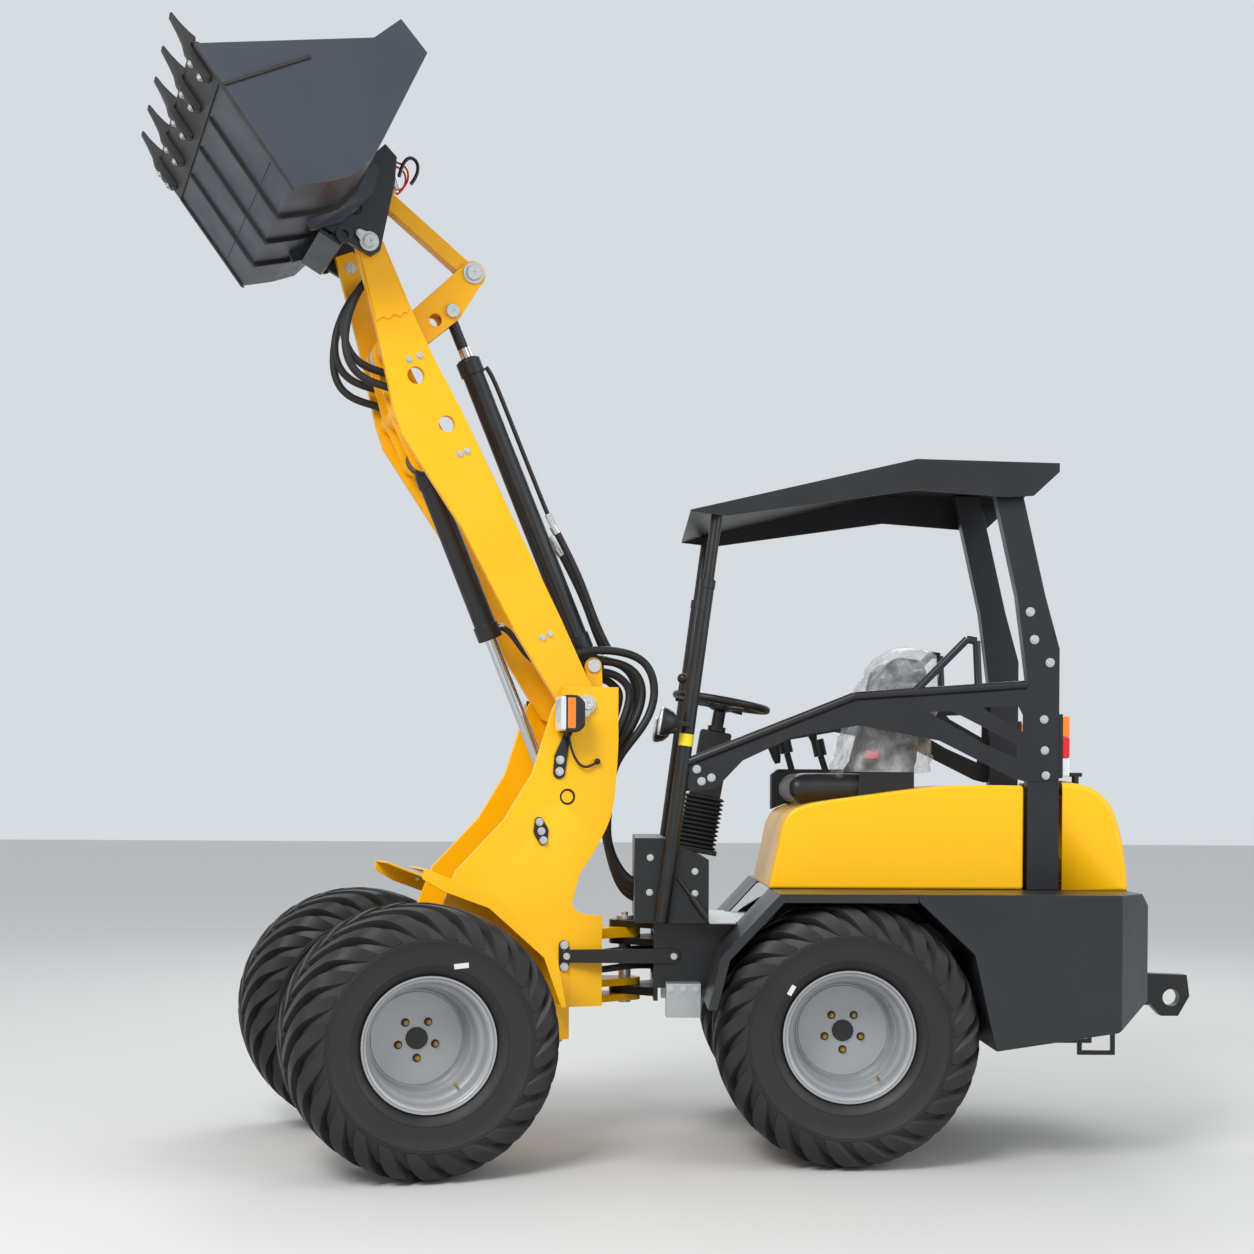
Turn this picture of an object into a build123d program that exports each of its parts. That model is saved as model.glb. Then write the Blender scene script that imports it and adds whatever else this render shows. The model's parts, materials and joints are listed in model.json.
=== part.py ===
"""Small articulated wheel loader with its boom raised and its front half steered to the left.

Frame while modelling: X forward, Y left, Z up, millimetres, ground at Z = 0, the articulation pin on the Z axis.
The front half, its boom and its bucket are drawn straight ahead and turned about the pin when they are saved.
"""
from build123d import *
import math
import os

# ---- stance -------------------------------------------------------------------------------------
STEER_REST = 18.0         # degrees the front half stands turned to the left
CENTRE_X = -139.86        # middle of the whole machine, which becomes the origin
CENTRE_Y = 180.9
RUNNING = 0.05            # radial clearance of a pin in its bore
SEAT = 0.3                # gap between pieces that rest on one another
CLEAR = 5.0               # least side gap between moving plates

# ---- wheels and axles ---------------------------------------------------------------------------
TYRE_R = 430.0
TYRE_W = 400.0
LUGS = 24                 # on each side of the tread
LUG_H = 30.0
SHOULDER_IN = 22.0        # how far the tread's shoulder stands in from the tyre's full width
RING_R = 327.0            # where the lugs end on the sidewall
CENTRE_GAP = 4.0          # from the middle of the tread to the lugs' ends
FLAT = 0.01               # corners of a face lie in one plane to this
RIM_R = 197.0
RIM_FLANGE_R = 214.0
RIM_W = 340.0
RIM_T = 8.0
DISC_OFFSET = -20.0       # outer face of the wheel disc from the middle of the tyre, outwards positive
DISC_T = 12.0
HUB_HOLE_R = 35.0
BORE_R = (RIM_R + SEAT) / math.cos(math.pi / LUGS)
BEAD_Y = RIM_W / 2 - RIM_T - 4 - SEAT
HALF_TRACK = 490.0
REAR_AXLE_X = -716.0
FRONT_AXLE_X = 850.0
AXLE_Z = TYRE_R
BEAM_H = 100.0
BEAM_L = 110.0
MOTOR_R = 90.0
MOTOR_IN = 200.0          # where the beam ends and the drive motor starts, from the middle
MOTOR_W = 150.0
HUB_R = 72.0

# ---- front half: tower, boom and linkage, side view (x, z) ----------------------------------------
TOWER_IN = 170.0          # inner face of a tower plate from the middle
TOWER_T = 20.0
BOOM_PIVOT = (205.0, 1511.0)
TIP = (958.0, 3008.0)
ROCKER_PIVOT = (865.0, 2680.0)
ROCKER_LINK = (570.0, 2978.0)
ROCKER_ROD = (643.0, 2843.0)
COUPLER_LINK = (900.0, 3235.0)
TILT_BASE = (139.0, 1651.0)
LIFT_TOP = (742.0, 2342.0)
LIFT_FOOT = (270.0, 1195.0)
ARM_OUT = 165.0           # outer face of a boom arm from the middle
ARM_T = 25.0
MID_PLATE_IN = 46.0
MID_PLATE_T = 15.0
ROCKER_IN = 26.0
ROCKER_T = 15.0
ROCKER_SLEEVE_R = 50.0
ROCKER_TIE = (752.0, 2772.0)
ROCKER_TIE_R = 18.0
LINK_H = 52.0
LINK_W = 50.0
LINK_WALL = 6.0
LINK_EYE_R = 46.0
COUPLER_T = 20.0
PIN_R = 20.0
SMALL_PIN_R = 17.0
PIN_HEAD_T = 8.0
LINK_PIN_HEAD_R = 36.0
LOWER_TUBE = (818.0, 2480.0)
LOWER_TUBE_R = 38.0
FOOT_RECESS_R = 28.0      # round recess about the end of the lift cylinder's foot pin
FOOT_RECESS = 8.0
COUPLER_IN = 170.0        # inner face of a coupler plate from the middle
COUPLER_TUBES = (((-101.0, 167.0), 15.0), ((-19.0, 390.0), 14.0))   # (u, v) in the bucket's frame, radius
EAR_IN = COUPLER_IN + COUPLER_T + 0.3   # inner face of a bucket ear from the middle

# ---- cylinders ------------------------------------------------------------------------------------
LIFT_BARREL_R = 38.0
LIFT_ROD_R = 20.0
TILT_BARREL_R = 38.0
TILT_ROD_R = 20.0
STEER_BARREL_R = 28.0
STEER_ROD_R = 14.0
STEER_BARREL_L = 280.0
STEER_ROD_IN = 85.0       # how far the rod reaches into the barrel as it stands
STEER_Z = 620.0
STEER_REAR = (-330.0, -120.0)    # plan view, on the rear half
STEER_FRONT = (200.0, -150.0)    # plan view, on the front half drawn straight ahead
LIFT_EYE_HALF = 25.0
TILT_LUG_T = 16.0
TILT_EYE_HALF = 20.0
TILT_BASE_HALF = 43.0
STEER_EYE_HALF = 15.0

# ---- bucket, side view in its own frame: u forward along the floor from the heel, v up --------------
BUCKET_W = 1200.0
BUCKET_SIDE_T = 12.0
BUCKET_SHEET_T = 8.0
HEEL = (1268.0, 3034.0)
FLOOR_TILT = 53.5         # degrees the floor points up while the boom is raised
FLOOR_L = 486.0
EDGE_L = 125.0            # cutting edge plate
EDGE_T = 16.0
TEETH = 5
TOOTH_L = 120.0
TOOTH_W = 44.0

# ---- rear half --------------------------------------------------------------------------------------
FRAME_IN = 240.0          # inner face of a side plate from the middle
FRAME_T = 20.0
FRAME_TOP = 770.0
FRAME_FRONT = -97.0
FRAME_BACK = -1430.0
WHEEL_ROOM = 30.0         # from the top of a tyre to the deck over it
DECK = 2 * TYRE_R + WHEEL_ROOM
BODY_HALF = 690.0         # half the overall width
HOOD_HALF = 350.0
HOOD_T = 6.0
SHEET = 5.0
TAIL_REAR = -1710.0
TAIL_T = 90.0             # thickness of the cast tail slab
TAIL_BOTTOM = 430.0
TAIL_DECK_T = 20.0
HATCH_HINGE = (-1699.0, DECK + 10)
HINGE_R = 9.0
HINGE_PIN_R = 5.0
HINGE_Y = 200.0           # middle of each hinge knuckle
HINGE_L = 50.0
HINGE_LUG_T = 12.0
POST_Y = 350.0
FRONT_POST_FOOT = (-119.0, 775.3)
FRONT_POST_TOP = (-302.0, 2160.5)
REAR_POST_TOP = 2311.5
POST_R = 24.0
POST_TOP_R = 19.0
REAR_POST_X = -1401.0
REAR_POST_L = 106.0
REAR_POST_W = 60.0
ROOF_HALF = 400.0
PIVOT_R = 22.0
EAR_R = 55.0
REAR_EARS = ((679.0, 702.7), (739.3, 763.0), (505.3, 534.7))   # z from, to
FRONT_EARS = ((703.0, 739.0), (481.0, 505.0), (535.0, 559.0))

# ---- steering wheel -----------------------------------------------------------------------------------
COLUMN_FOOT = (-245.0, 1005.0)
WHEEL_HUB = (-338.0, 1531.0)
STEERING_R = 175.0
STEERING_TUBE_R = 14.0


# ---- drawing helpers ------------------------------------------------------------------------------------
def side_plane(y):
    """Side view at a given Y: local x is forward, local y is up."""
    return Plane(origin=(0, y, 0), x_dir=(1, 0, 0), z_dir=(0, -1, 0))


def plan_plane(z):
    return Plane(origin=(0, 0, z), x_dir=(1, 0, 0), z_dir=(0, 0, 1))


def outline_face(points, radius=0.0):
    edges = FilletPolyline(*points, radius=radius, close=True) if radius else Polyline(*points, close=True)
    return make_face(edges)


def plate(points, y_low, y_high, radius=0.0, holes=()):
    """A flat plate seen from the side, between two Y values; holes are (x, z, radius)."""
    face = outline_face(points, radius)
    for hole_x, hole_z, hole_r in holes:
        face -= Pos(hole_x, hole_z) * Circle(hole_r)
    return extrude(side_plane(y_high) * face, amount=y_high - y_low, dir=(0, -1, 0))


def both_sides(shape):
    return shape + mirror(shape, about=Plane.XZ)


def block(x_low, x_high, y_low, y_high, z_low, z_high):
    centre = ((x_low + x_high) / 2, (y_low + y_high) / 2, (z_low + z_high) / 2)
    return Pos(*centre) * Box(x_high - x_low, y_high - y_low, z_high - z_low)


def round_bar(start, end, radius, bore=0.0):
    direction = Vector(*end) - Vector(*start)
    section = Circle(radius)
    if bore:
        section -= Circle(bore)
    return extrude(Plane(origin=start, z_dir=direction) * section, amount=direction.length)


def cross_bar(point, y_low, y_high, radius, bore=0.0):
    """A round bar across the machine through a side-view point."""
    return round_bar((point[0], y_low, point[1]), (point[0], y_high, point[1]), radius, bore)


def towards(start, end, distance):
    """The side-view point at a distance from start on the way to end."""
    length = math.dist(start, end)
    return tuple(a + (b - a) * distance / length for a, b in zip(start, end))


def angle_of(start, end):
    return math.degrees(math.atan2(end[1] - start[1], end[0] - start[0]))


def lever_outline(ends):
    """Hull of discs in the side view, ends being (point, radius)."""
    discs = [Pos(*point) * Circle(radius) for point, radius in ends]
    return make_hull(ShapeList([edge for disc in discs for edge in disc.edges()]))


def lever(ends, y_low, y_high, holes=()):
    face = lever_outline(ends)
    for point, hole_r in holes:
        face -= Pos(*point) * Circle(hole_r)
    return extrude(side_plane(y_high) * face, amount=y_high - y_low, dir=(0, -1, 0))


# ---- wheels ------------------------------------------------------------------------------------------------
def wheel_point(radius, y, degrees):
    """A point on a wheel about the Y axis, the angle running from the top towards the front."""
    turn = math.radians(degrees)
    return (radius * math.sin(turn), y, radius * math.cos(turn))


def facets(corners):
    """One flat face over three or four corners, or two where four corners don't lie flat."""
    distinct = [Vector(*c) for i, c in enumerate(corners) if math.dist(c, corners[i - 1]) > RUNNING]
    if len(distinct) == 4:
        normal = (distinct[1] - distinct[0]).cross(distinct[2] - distinct[0])
        if abs(normal.normalized().dot(distinct[3] - distinct[0])) > FLAT:
            return [Face(Wire.make_polygon(distinct[:3])), Face(Wire.make_polygon([distinct[0], *distinct[2:]]))]
    return [Face(Wire.make_polygon(distinct))]


def zigzag(ring, other):
    """Triangles between two rings whose points alternate."""
    faces = []
    for k in range(len(ring)):
        faces += facets((ring[k - 1], ring[k], other[k - 1]))
        faces += facets((other[k - 1], other[k], ring[k]))
    return faces


def tread_side(side):
    """One half of the tyre; the lugs of the two halves stand half a pitch apart."""
    pitch = 360 / LUGS
    half = TYRE_W / 2
    floor_r = TYRE_R - LUG_H
    rows = (               # y, lug radius, groove radius, sweep ahead of the sidewall, half width of a lug (degrees)
        (CENTRE_GAP, TYRE_R, floor_r, 33.0, 2.6),
        (half * 0.5, TYRE_R, floor_r, 21.5, 2.9),
        (half - SHOULDER_IN, TYRE_R - 12, floor_r - 8, 10.0, 3.6),
        (half, RING_R, RING_R, 0.0, pitch / 2),
    )
    rings = (              # y, radius
        (half, RING_R),
        (half - 8, RIM_FLANGE_R + 40),
        (BEAD_Y, RIM_FLANGE_R + 8),
        (BEAD_Y, BORE_R),
    )
    faces = []
    centre_ring = []
    bore_ring = []
    for i in range(LUGS):
        middle = pitch * (i + side / 4)
        sections = []
        for y, lug_r, groove_r, sweep, half_lug in rows:
            low = middle + sweep - half_lug
            high = middle + sweep + half_lug
            sections.append((
                wheel_point(groove_r, side * y, low), wheel_point(lug_r, side * y, low),
                wheel_point(lug_r, side * y, high), wheel_point(groove_r, side * y, high),
                wheel_point(groove_r, side * y, low + pitch)))
        for near, far in zip(sections, sections[1:]):
            for k in range(4):
                faces += facets((near[k], near[k + 1], far[k + 1], far[k]))
        faces += facets(sections[0][:4])
        centre_ring += [sections[0][0], sections[0][3]]
        for (near_y, near_r), (far_y, far_r) in zip(rings, rings[1:]):
            low = middle - pitch / 2
            high = middle + pitch / 2
            faces += facets((
                wheel_point(near_r, side * near_y, low), wheel_point(near_r, side * near_y, high),
                wheel_point(far_r, side * far_y, high), wheel_point(far_r, side * far_y, low)))
        bore_ring.append(wheel_point(BORE_R, side * BEAD_Y, middle - pitch / 2))
    return faces, centre_ring, bore_ring


def tyre():
    """Tyre about the Y axis with chevron lugs that lead towards the front at the top."""
    right, right_centre, right_bore = tread_side(-1)
    left, left_centre, left_bore = tread_side(1)
    faces = right + left + zigzag(right_centre, left_centre) + zigzag(right_bore, left_bore)
    return Solid(Shell(faces))


def rim():
    """Rim about the Y axis, its dished disc facing +Y."""
    half = RIM_W / 2
    profile = (            # radius, y of the rim's outside, then back along its inside
        (RIM_FLANGE_R, half),
        (RIM_FLANGE_R, half - RIM_T),
        (RIM_R, half - RIM_T - 4),
        (RIM_R, -half + RIM_T + 4),
        (RIM_FLANGE_R, -half + RIM_T),
        (RIM_FLANGE_R, -half),
        (RIM_R - RIM_T, -half),
        (RIM_R - RIM_T, half),
    )
    section = make_face(Polyline(*[(radius, y) for radius, y in profile], close=True))
    barrel = revolve(section, Axis.Y)
    disc_face = Circle(RIM_R - RIM_T / 2) - Circle(HUB_HOLE_R)
    disc = extrude(side_plane(DISC_OFFSET) * disc_face, amount=DISC_T, dir=(0, -1, 0))
    return barrel + disc


def axle(x):
    """Beam, drive motors and hubs across the machine at one axle."""
    beam = block(x - BEAM_L / 2, x + BEAM_L / 2, -MOTOR_IN, MOTOR_IN, AXLE_Z - BEAM_H / 2, AXLE_Z + BEAM_H / 2)
    hub_face = HALF_TRACK + DISC_OFFSET - DISC_T - SEAT
    motor = cross_bar((x, AXLE_Z), MOTOR_IN, MOTOR_IN + MOTOR_W, MOTOR_R)
    motor += cross_bar((x, AXLE_Z), MOTOR_IN + MOTOR_W, hub_face, HUB_R)
    motor += cross_bar((x, AXLE_Z), hub_face, hub_face + DISC_T + SEAT + 8, HUB_HOLE_R - RUNNING)
    return beam + both_sides(motor)


# ---- front half --------------------------------------------------------------------------------------------
def front_frame():
    """Tower plates, cross plates, pivot ears, cylinder brackets and lamp arms."""
    outline = (
        (90, 1571), (278, 1571), (320, 1498), (393, 1274), (491, 1117), (656, 947), (790, 620), (930, 500),
        (930, 370), (262, 370), (262, 800), (226, 932), (160, 1034), (109, 1154), (90, 1356),
    )
    outer = TOWER_IN + TOWER_T
    frame = both_sides(plate(outline, TOWER_IN, outer, holes=((*BOOM_PIVOT, PIN_R),)))
    frame -= both_sides(cross_bar(LIFT_FOOT, outer - FOOT_RECESS, outer, FOOT_RECESS_R))
    frame += block(95, 110, -TOWER_IN, TOWER_IN, 1200, 1440)
    frame += block(262, 280, -TOWER_IN, TOWER_IN, 370, 840)
    frame += block(280, 930, -TOWER_IN, TOWER_IN, 360, 372)
    frame -= block(
        FRONT_AXLE_X - BEAM_L / 2 - SEAT, FRONT_AXLE_X + BEAM_L / 2 + SEAT, -outer, outer,
        AXLE_Z - BEAM_H / 2 - SEAT, AXLE_Z + BEAM_H / 2 + SEAT)
    for z_low, z_high in FRONT_EARS:
        frame += ear(270, 150, z_low, z_high)
    lug_ends = ((TILT_BASE, 30), ((108, 1400), 12))
    lug_in = TILT_BASE_HALF + SEAT
    lug = lever(lug_ends, lug_in, lug_in + TILT_LUG_T, holes=((TILT_BASE, SMALL_PIN_R + RUNNING),))
    frame += both_sides(lug)
    frame += both_sides(cross_bar(LIFT_FOOT, LIFT_EYE_HALF + CLEAR, outer - FOOT_RECESS / 2, PIN_R))
    bracket = (
        (270, STEER_FRONT[1] - 16), (270, STEER_FRONT[1] + 60),
        (STEER_FRONT[0] - 20, STEER_FRONT[1] + 20), (STEER_FRONT[0] - 20, STEER_FRONT[1] - 16),
    )
    for side in (-1, 1):
        z_near = STEER_Z + side * (STEER_EYE_HALF + CLEAR)
        z_far = z_near + side * 12
        frame += flat_plate(bracket, min(z_near, z_far), max(z_near, z_far))
    return frame


def ear(x_wide, half_width, z_low, z_high):
    """Tapered plate from a cross plate to a round end about the articulation pin."""
    face = make_hull(ShapeList([
        *Circle(EAR_R).edges(),
        *Polyline((x_wide, -half_width), (x_wide, half_width)).edges(),
    ]))
    face -= Circle(PIVOT_R + RUNNING)
    return extrude(plan_plane(z_low) * face, amount=z_high - z_low)


def flat_plate(points, z_low, z_high, holes=()):
    """A level plate seen from above, between two heights; holes are (x, y, radius)."""
    face = outline_face(points)
    for hole_x, hole_y, hole_r in holes:
        face -= Pos(hole_x, hole_y) * Circle(hole_r)
    return extrude(plan_plane(z_low) * face, amount=z_high - z_low, dir=(0, 0, 1))


def boom_pins():
    """Two pins in the tower plates that the boom's arms turn on, each with its head."""
    outer = TOWER_IN + TOWER_T
    pin = cross_bar(BOOM_PIVOT, ARM_OUT - ARM_T, outer, PIN_R)
    pin += cross_bar(BOOM_PIVOT, outer, outer + 10, PIN_R + 12)
    return both_sides(pin)


def mudguards():
    """Bent strips behind the front wheels, carried on the tower plates."""
    outer = ((812, 965), (743, 937), (573, 875), (369, 685), (334, 504))
    inner = ((340, 504), (375, 682), (577, 869), (745, 931), (814, 959))
    return both_sides(plate(outer + inner, TOWER_IN + TOWER_T, 400))


def headlamps():
    outer = TOWER_IN + TOWER_T
    lamp = block(262, 330, outer + 12, outer + 102, 1430, 1540)
    lamp += block(262, 277, outer, outer + 12, 1440, 1530)
    return both_sides(lamp)


def at(point, y=0.0):
    """A side-view point as a place in space."""
    return (point[0], y, point[1])


# ---- boom and linkage ----------------------------------------------------------------------------------------
def boom():
    """Two arms joined by cross tubes, with middle plates that carry the rocker and the lift cylinder."""
    outline = (
        (1010, 3040), (925, 2728), (866, 2470), (840, 2394), (635, 2094), (453, 1757), (268, 1470), (200, 1440),
        (140, 1475), (150, 1540), (193, 1600), (288, 1799), (464, 2140), (573, 2355), (637, 2482), (733, 2651),
        (808, 2803), (905, 3020), (950, 3064),
    )
    holes = ((*BOOM_PIVOT, PIN_R + RUNNING), (*TIP, PIN_R + RUNNING), (794, 2590, 29), (689, 2436, 28))
    inner = ARM_OUT - ARM_T
    mid_out = MID_PLATE_IN + MID_PLATE_T
    whole = both_sides(plate(outline, inner, ARM_OUT, holes=holes))
    middle_ends = ((ROCKER_PIVOT, 52), (LOWER_TUBE, LOWER_TUBE_R + 4), (LIFT_TOP, 50))
    whole += both_sides(lever(middle_ends, MID_PLATE_IN, mid_out))
    whole += both_sides(cross_bar(ROCKER_PIVOT, mid_out, inner, 45))
    whole += both_sides(cross_bar(LIFT_TOP, mid_out, inner, 38))
    whole += cross_bar(LIFT_TOP, -mid_out, mid_out, PIN_R)
    whole += cross_bar(LOWER_TUBE, -inner, inner, LOWER_TUBE_R)
    return whole - cross_bar(ROCKER_PIVOT, -mid_out - SEAT, mid_out + SEAT, PIN_R + RUNNING)


def barrel_and_rod(base, eye, barrel_l, rod_in, barrel_r, rod_r, base_half, eye_half, pin_r, base_r, eye_r):
    """A cylinder in the side view: the barrel turns on its base pin, the rod's eye is solid and free."""
    mouth = towards(base, eye, barrel_l)
    tube = round_bar(at(towards(base, eye, base_r - 7)), at(mouth), barrel_r)
    tube -= round_bar(at(towards(base, eye, base_r + 12)), at(towards(base, eye, barrel_l + 1)), rod_r + RUNNING)
    tube += cross_bar(base, -base_half, base_half, base_r)
    tube -= cross_bar(base, -base_half, base_half, pin_r + RUNNING)
    rod = round_bar(at(towards(base, eye, barrel_l - rod_in)), at(eye), rod_r)
    rod += cross_bar(eye, -eye_half, eye_half, eye_r)
    return tube, rod


def rocker():
    """Two plates on a hub; the link is pinned at the end and the tilt rod between."""
    ends = ((ROCKER_PIVOT, ROCKER_SLEEVE_R + 4), (ROCKER_ROD, 34), (ROCKER_LINK, LINK_EYE_R - 4))
    outer = ROCKER_IN + ROCKER_T
    window = (700, 2810, 22)
    side = lever(ends, ROCKER_IN, outer, holes=((ROCKER_LINK, SMALL_PIN_R + RUNNING), (window[:2], window[2])))
    side += cross_bar(ROCKER_ROD, outer, outer + 6, 24)
    whole = both_sides(side) + cross_bar(ROCKER_TIE, -ROCKER_IN, ROCKER_IN, ROCKER_TIE_R)
    return whole - cross_bar(ROCKER_PIVOT, -outer, outer, PIN_R + RUNNING)


def rocker_pin():
    """Pin across the boom's middle plates with the sleeve that spaces the rocker's plates."""
    end = MID_PLATE_IN + MID_PLATE_T
    return cross_bar(ROCKER_PIVOT, -end, end, PIN_R) + cross_bar(
        ROCKER_PIVOT, -ROCKER_IN + SEAT, ROCKER_IN - SEAT, ROCKER_SLEEVE_R)


def link_bar():
    """Box-section bar from the rocker to the coupler; a bush fills its near eye, its far eye is solid and free."""
    half = LINK_W / 2
    near_end = towards(ROCKER_LINK, COUPLER_LINK, LINK_EYE_R + LINK_H / 2)
    far_end = towards(COUPLER_LINK, ROCKER_LINK, LINK_H)
    bar = lever(((ROCKER_LINK, LINK_H / 2), (COUPLER_LINK, LINK_H / 2)), -half, half)
    bar += cross_bar(ROCKER_LINK, -half, half, LINK_EYE_R)
    hollow_r = LINK_H / 2 - LINK_WALL
    bar -= lever(((near_end, hollow_r), (far_end, hollow_r)), LINK_WALL - half, half - LINK_WALL)
    bar -= cross_bar(ROCKER_LINK, LINK_WALL - half, half - LINK_WALL, LINK_EYE_R - LINK_WALL)
    return bar - cross_bar(ROCKER_LINK, -half, half, SMALL_PIN_R + RUNNING)


def link_pin():
    """Headed pin through the rocker and the link, with the bush inside the link's eye."""
    bush_half = LINK_W / 2 - LINK_WALL - SEAT
    pin = headed_pin(ROCKER_LINK, ROCKER_IN + ROCKER_T, SMALL_PIN_R, LINK_PIN_HEAD_R)
    return pin + cross_bar(ROCKER_LINK, -bush_half, bush_half, LINK_EYE_R - LINK_WALL - SEAT)


def headed_pin(point, half_grip, radius, head_r):
    """A pin with a washer head at each end, a seat's gap outside the plates it joins."""
    shank = half_grip + SEAT
    pin = cross_bar(point, -shank - 1, shank + 1, radius)
    return pin + both_sides(cross_bar(point, shank, shank + PIN_HEAD_T, head_r))


def tip_pins():
    grip = COUPLER_IN + COUPLER_T
    pin = cross_bar(TIP, ARM_OUT - ARM_T, grip + 1, PIN_R)
    return both_sides(pin + cross_bar(TIP, grip + SEAT, grip + 10, PIN_R + 12))


def in_bucket(u, v):
    """Side-view point from the bucket's own frame."""
    tilt = math.radians(FLOOR_TILT)
    return (
        HEEL[0] + u * math.cos(tilt) - v * math.sin(tilt),
        HEEL[1] + u * math.sin(tilt) + v * math.cos(tilt),
    )


def coupler():
    """Quick coupler: side plates outside the arms, cross tubes and the link's lugs."""
    outline = (
        (-205, 192), (-160, 170), (-100, 139), (-84, 150), (-84, 190), (-72, 262), (-36, 322), (18, 423), (24, 470),
        (-30, 478), (-92, 425), (-247, 250), (-247, 215),
    )
    side = plate([in_bucket(*p) for p in outline], COUPLER_IN, COUPLER_IN + COUPLER_T)
    side -= cross_bar(TIP, 0, BUCKET_W, PIN_R + RUNNING)
    side -= cross_bar(in_bucket(-95, 260), 0, BUCKET_W, 22)
    whole = both_sides(side)
    for (u, v), radius in COUPLER_TUBES:
        whole += cross_bar(in_bucket(u, v), -COUPLER_IN, COUPLER_IN, radius)
    lug_in = LINK_W / 2 + CLEAR + 1
    upper_tube = in_bucket(*COUPLER_TUBES[1][0])
    lug = lever(((COUPLER_LINK, 30), (upper_tube, 20)), lug_in, lug_in + 14)
    return whole + both_sides(lug)


def bucket():
    """Side plates and the bent sheet between them, with ears for the coupler."""
    seam = FLOOR_L - EDGE_L
    back = ((0, 0), (-44, 100), (-68, 182), (-55, 266), (-27, 322), (118, 600), (242, 589))
    side_outline = ((FLOOR_L, 0), *back, (237, 482))
    sheet_outline = ((seam, 0), *back)
    reach = ((seam + 200, 0), *back[:-1], (442, 571))
    half = BUCKET_W / 2
    inner = half - BUCKET_SIDE_T
    sheet = extrude(side_plane(inner) * outline_face([in_bucket(*p) for p in sheet_outline]),
                    amount=2 * inner, dir=(0, -1, 0))
    space = offset(outline_face([in_bucket(*p) for p in reach]), amount=-BUCKET_SHEET_T)
    sheet -= extrude(side_plane(inner) * space, amount=2 * inner, dir=(0, -1, 0))
    whole = sheet + both_sides(plate([in_bucket(*p) for p in side_outline], inner, half))
    ear_outline = ((10, 390), (-27, 322), (-55, 266), (-68, 182), (-44, 100), (-80, 90), (-110, 190), (-90, 330), (-35, 400))
    ear_plate = plate([in_bucket(*p) for p in ear_outline], EAR_IN, EAR_IN + 15)
    return whole + both_sides(ear_plate)


def cutting_edge():
    """Wear plate along the floor's front with its teeth bolted under it."""
    start = FLOOR_L - EDGE_L
    inner = BUCKET_W / 2 - BUCKET_SIDE_T
    outline = ((start, 0), (FLOOR_L + 14, 0), (FLOOR_L, EDGE_T), (start, EDGE_T))
    whole = plate([in_bucket(*p) for p in outline], -inner, inner)
    tooth = (
        (start + 20, 0), (start + 20, -16), (FLOOR_L, -24), (FLOOR_L + TOOTH_L, 2), (FLOOR_L + TOOTH_L, 10),
        (FLOOR_L + 20, 22), (FLOOR_L + 7, EDGE_T / 2), (FLOOR_L + 14, 0),
    )
    pitch = (BUCKET_W - 2 * 40 - TOOTH_W) / (TEETH - 1)
    for i in range(TEETH):
        y = (i - (TEETH - 1) / 2) * pitch
        whole += plate([in_bucket(*p) for p in tooth], y - TOOTH_W / 2, y + TOOTH_W / 2)
    return whole


# ---- rear half -------------------------------------------------------------------------------------------------
def rear_frame():
    """Side plates, cross plates, the pivot tongues and the articulation pin."""
    outline = (
        (FRAME_FRONT, FRAME_TOP), (FRAME_FRONT, 546), (-300, 546), (-500, 380), (FRAME_BACK, 380),
        (FRAME_BACK, FRAME_TOP),
    )
    frame = both_sides(plate(outline, FRAME_IN, FRAME_IN + FRAME_T))
    frame += block(FRAME_FRONT - 15, FRAME_FRONT, -FRAME_IN, FRAME_IN, 678, FRAME_TOP)
    frame += block(FRAME_FRONT - 15, FRAME_FRONT, -FRAME_IN, FRAME_IN, 500, 562)
    frame += block(-480, -462, -FRAME_IN, FRAME_IN, 400, FRAME_TOP)
    frame += block(FRAME_BACK, FRAME_BACK + 20, -FRAME_IN, FRAME_IN, 380, FRAME_TOP)
    frame -= block(
        REAR_AXLE_X - BEAM_L / 2 - SEAT, REAR_AXLE_X + BEAM_L / 2 + SEAT, -300, 300,
        AXLE_Z - BEAM_H / 2 - SEAT, AXLE_Z + BEAM_H / 2 + SEAT)
    motor_r = MOTOR_R + SEAT
    frame -= cross_bar((REAR_AXLE_X, AXLE_Z), -300, 300, motor_r)
    frame -= block(REAR_AXLE_X - motor_r, REAR_AXLE_X + motor_r, -300, 300, 300, AXLE_Z)
    for z_low, z_high in REAR_EARS:
        frame += ear(FRAME_FRONT - 5, 150, z_low, z_high)
    for side in (-1, 1):
        z_near = STEER_Z + side * (STEER_EYE_HALF + SEAT)
        z_far = z_near + side * 12
        bracket = ((-462, -180), (-462, -60), (STEER_REAR[0] + 18, -105), (STEER_REAR[0] + 18, -135))
        frame += flat_plate(bracket, min(z_near, z_far), max(z_near, z_far))
    return frame + round_bar((*STEER_REAR, STEER_Z - 25), (*STEER_REAR, STEER_Z + 25), 14)


def articulation_pin():
    """Pin through the rear tongues and the front ears, with its head on top."""
    low, high = REAR_EARS[2][0], REAR_EARS[1][1]
    pin = round_bar((0, 0, low - 35), (0, 0, high + SEAT), PIVOT_R)
    return pin + round_bar((0, 0, high + SEAT), (0, 0, high + 14), PIVOT_R + 8)


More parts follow.
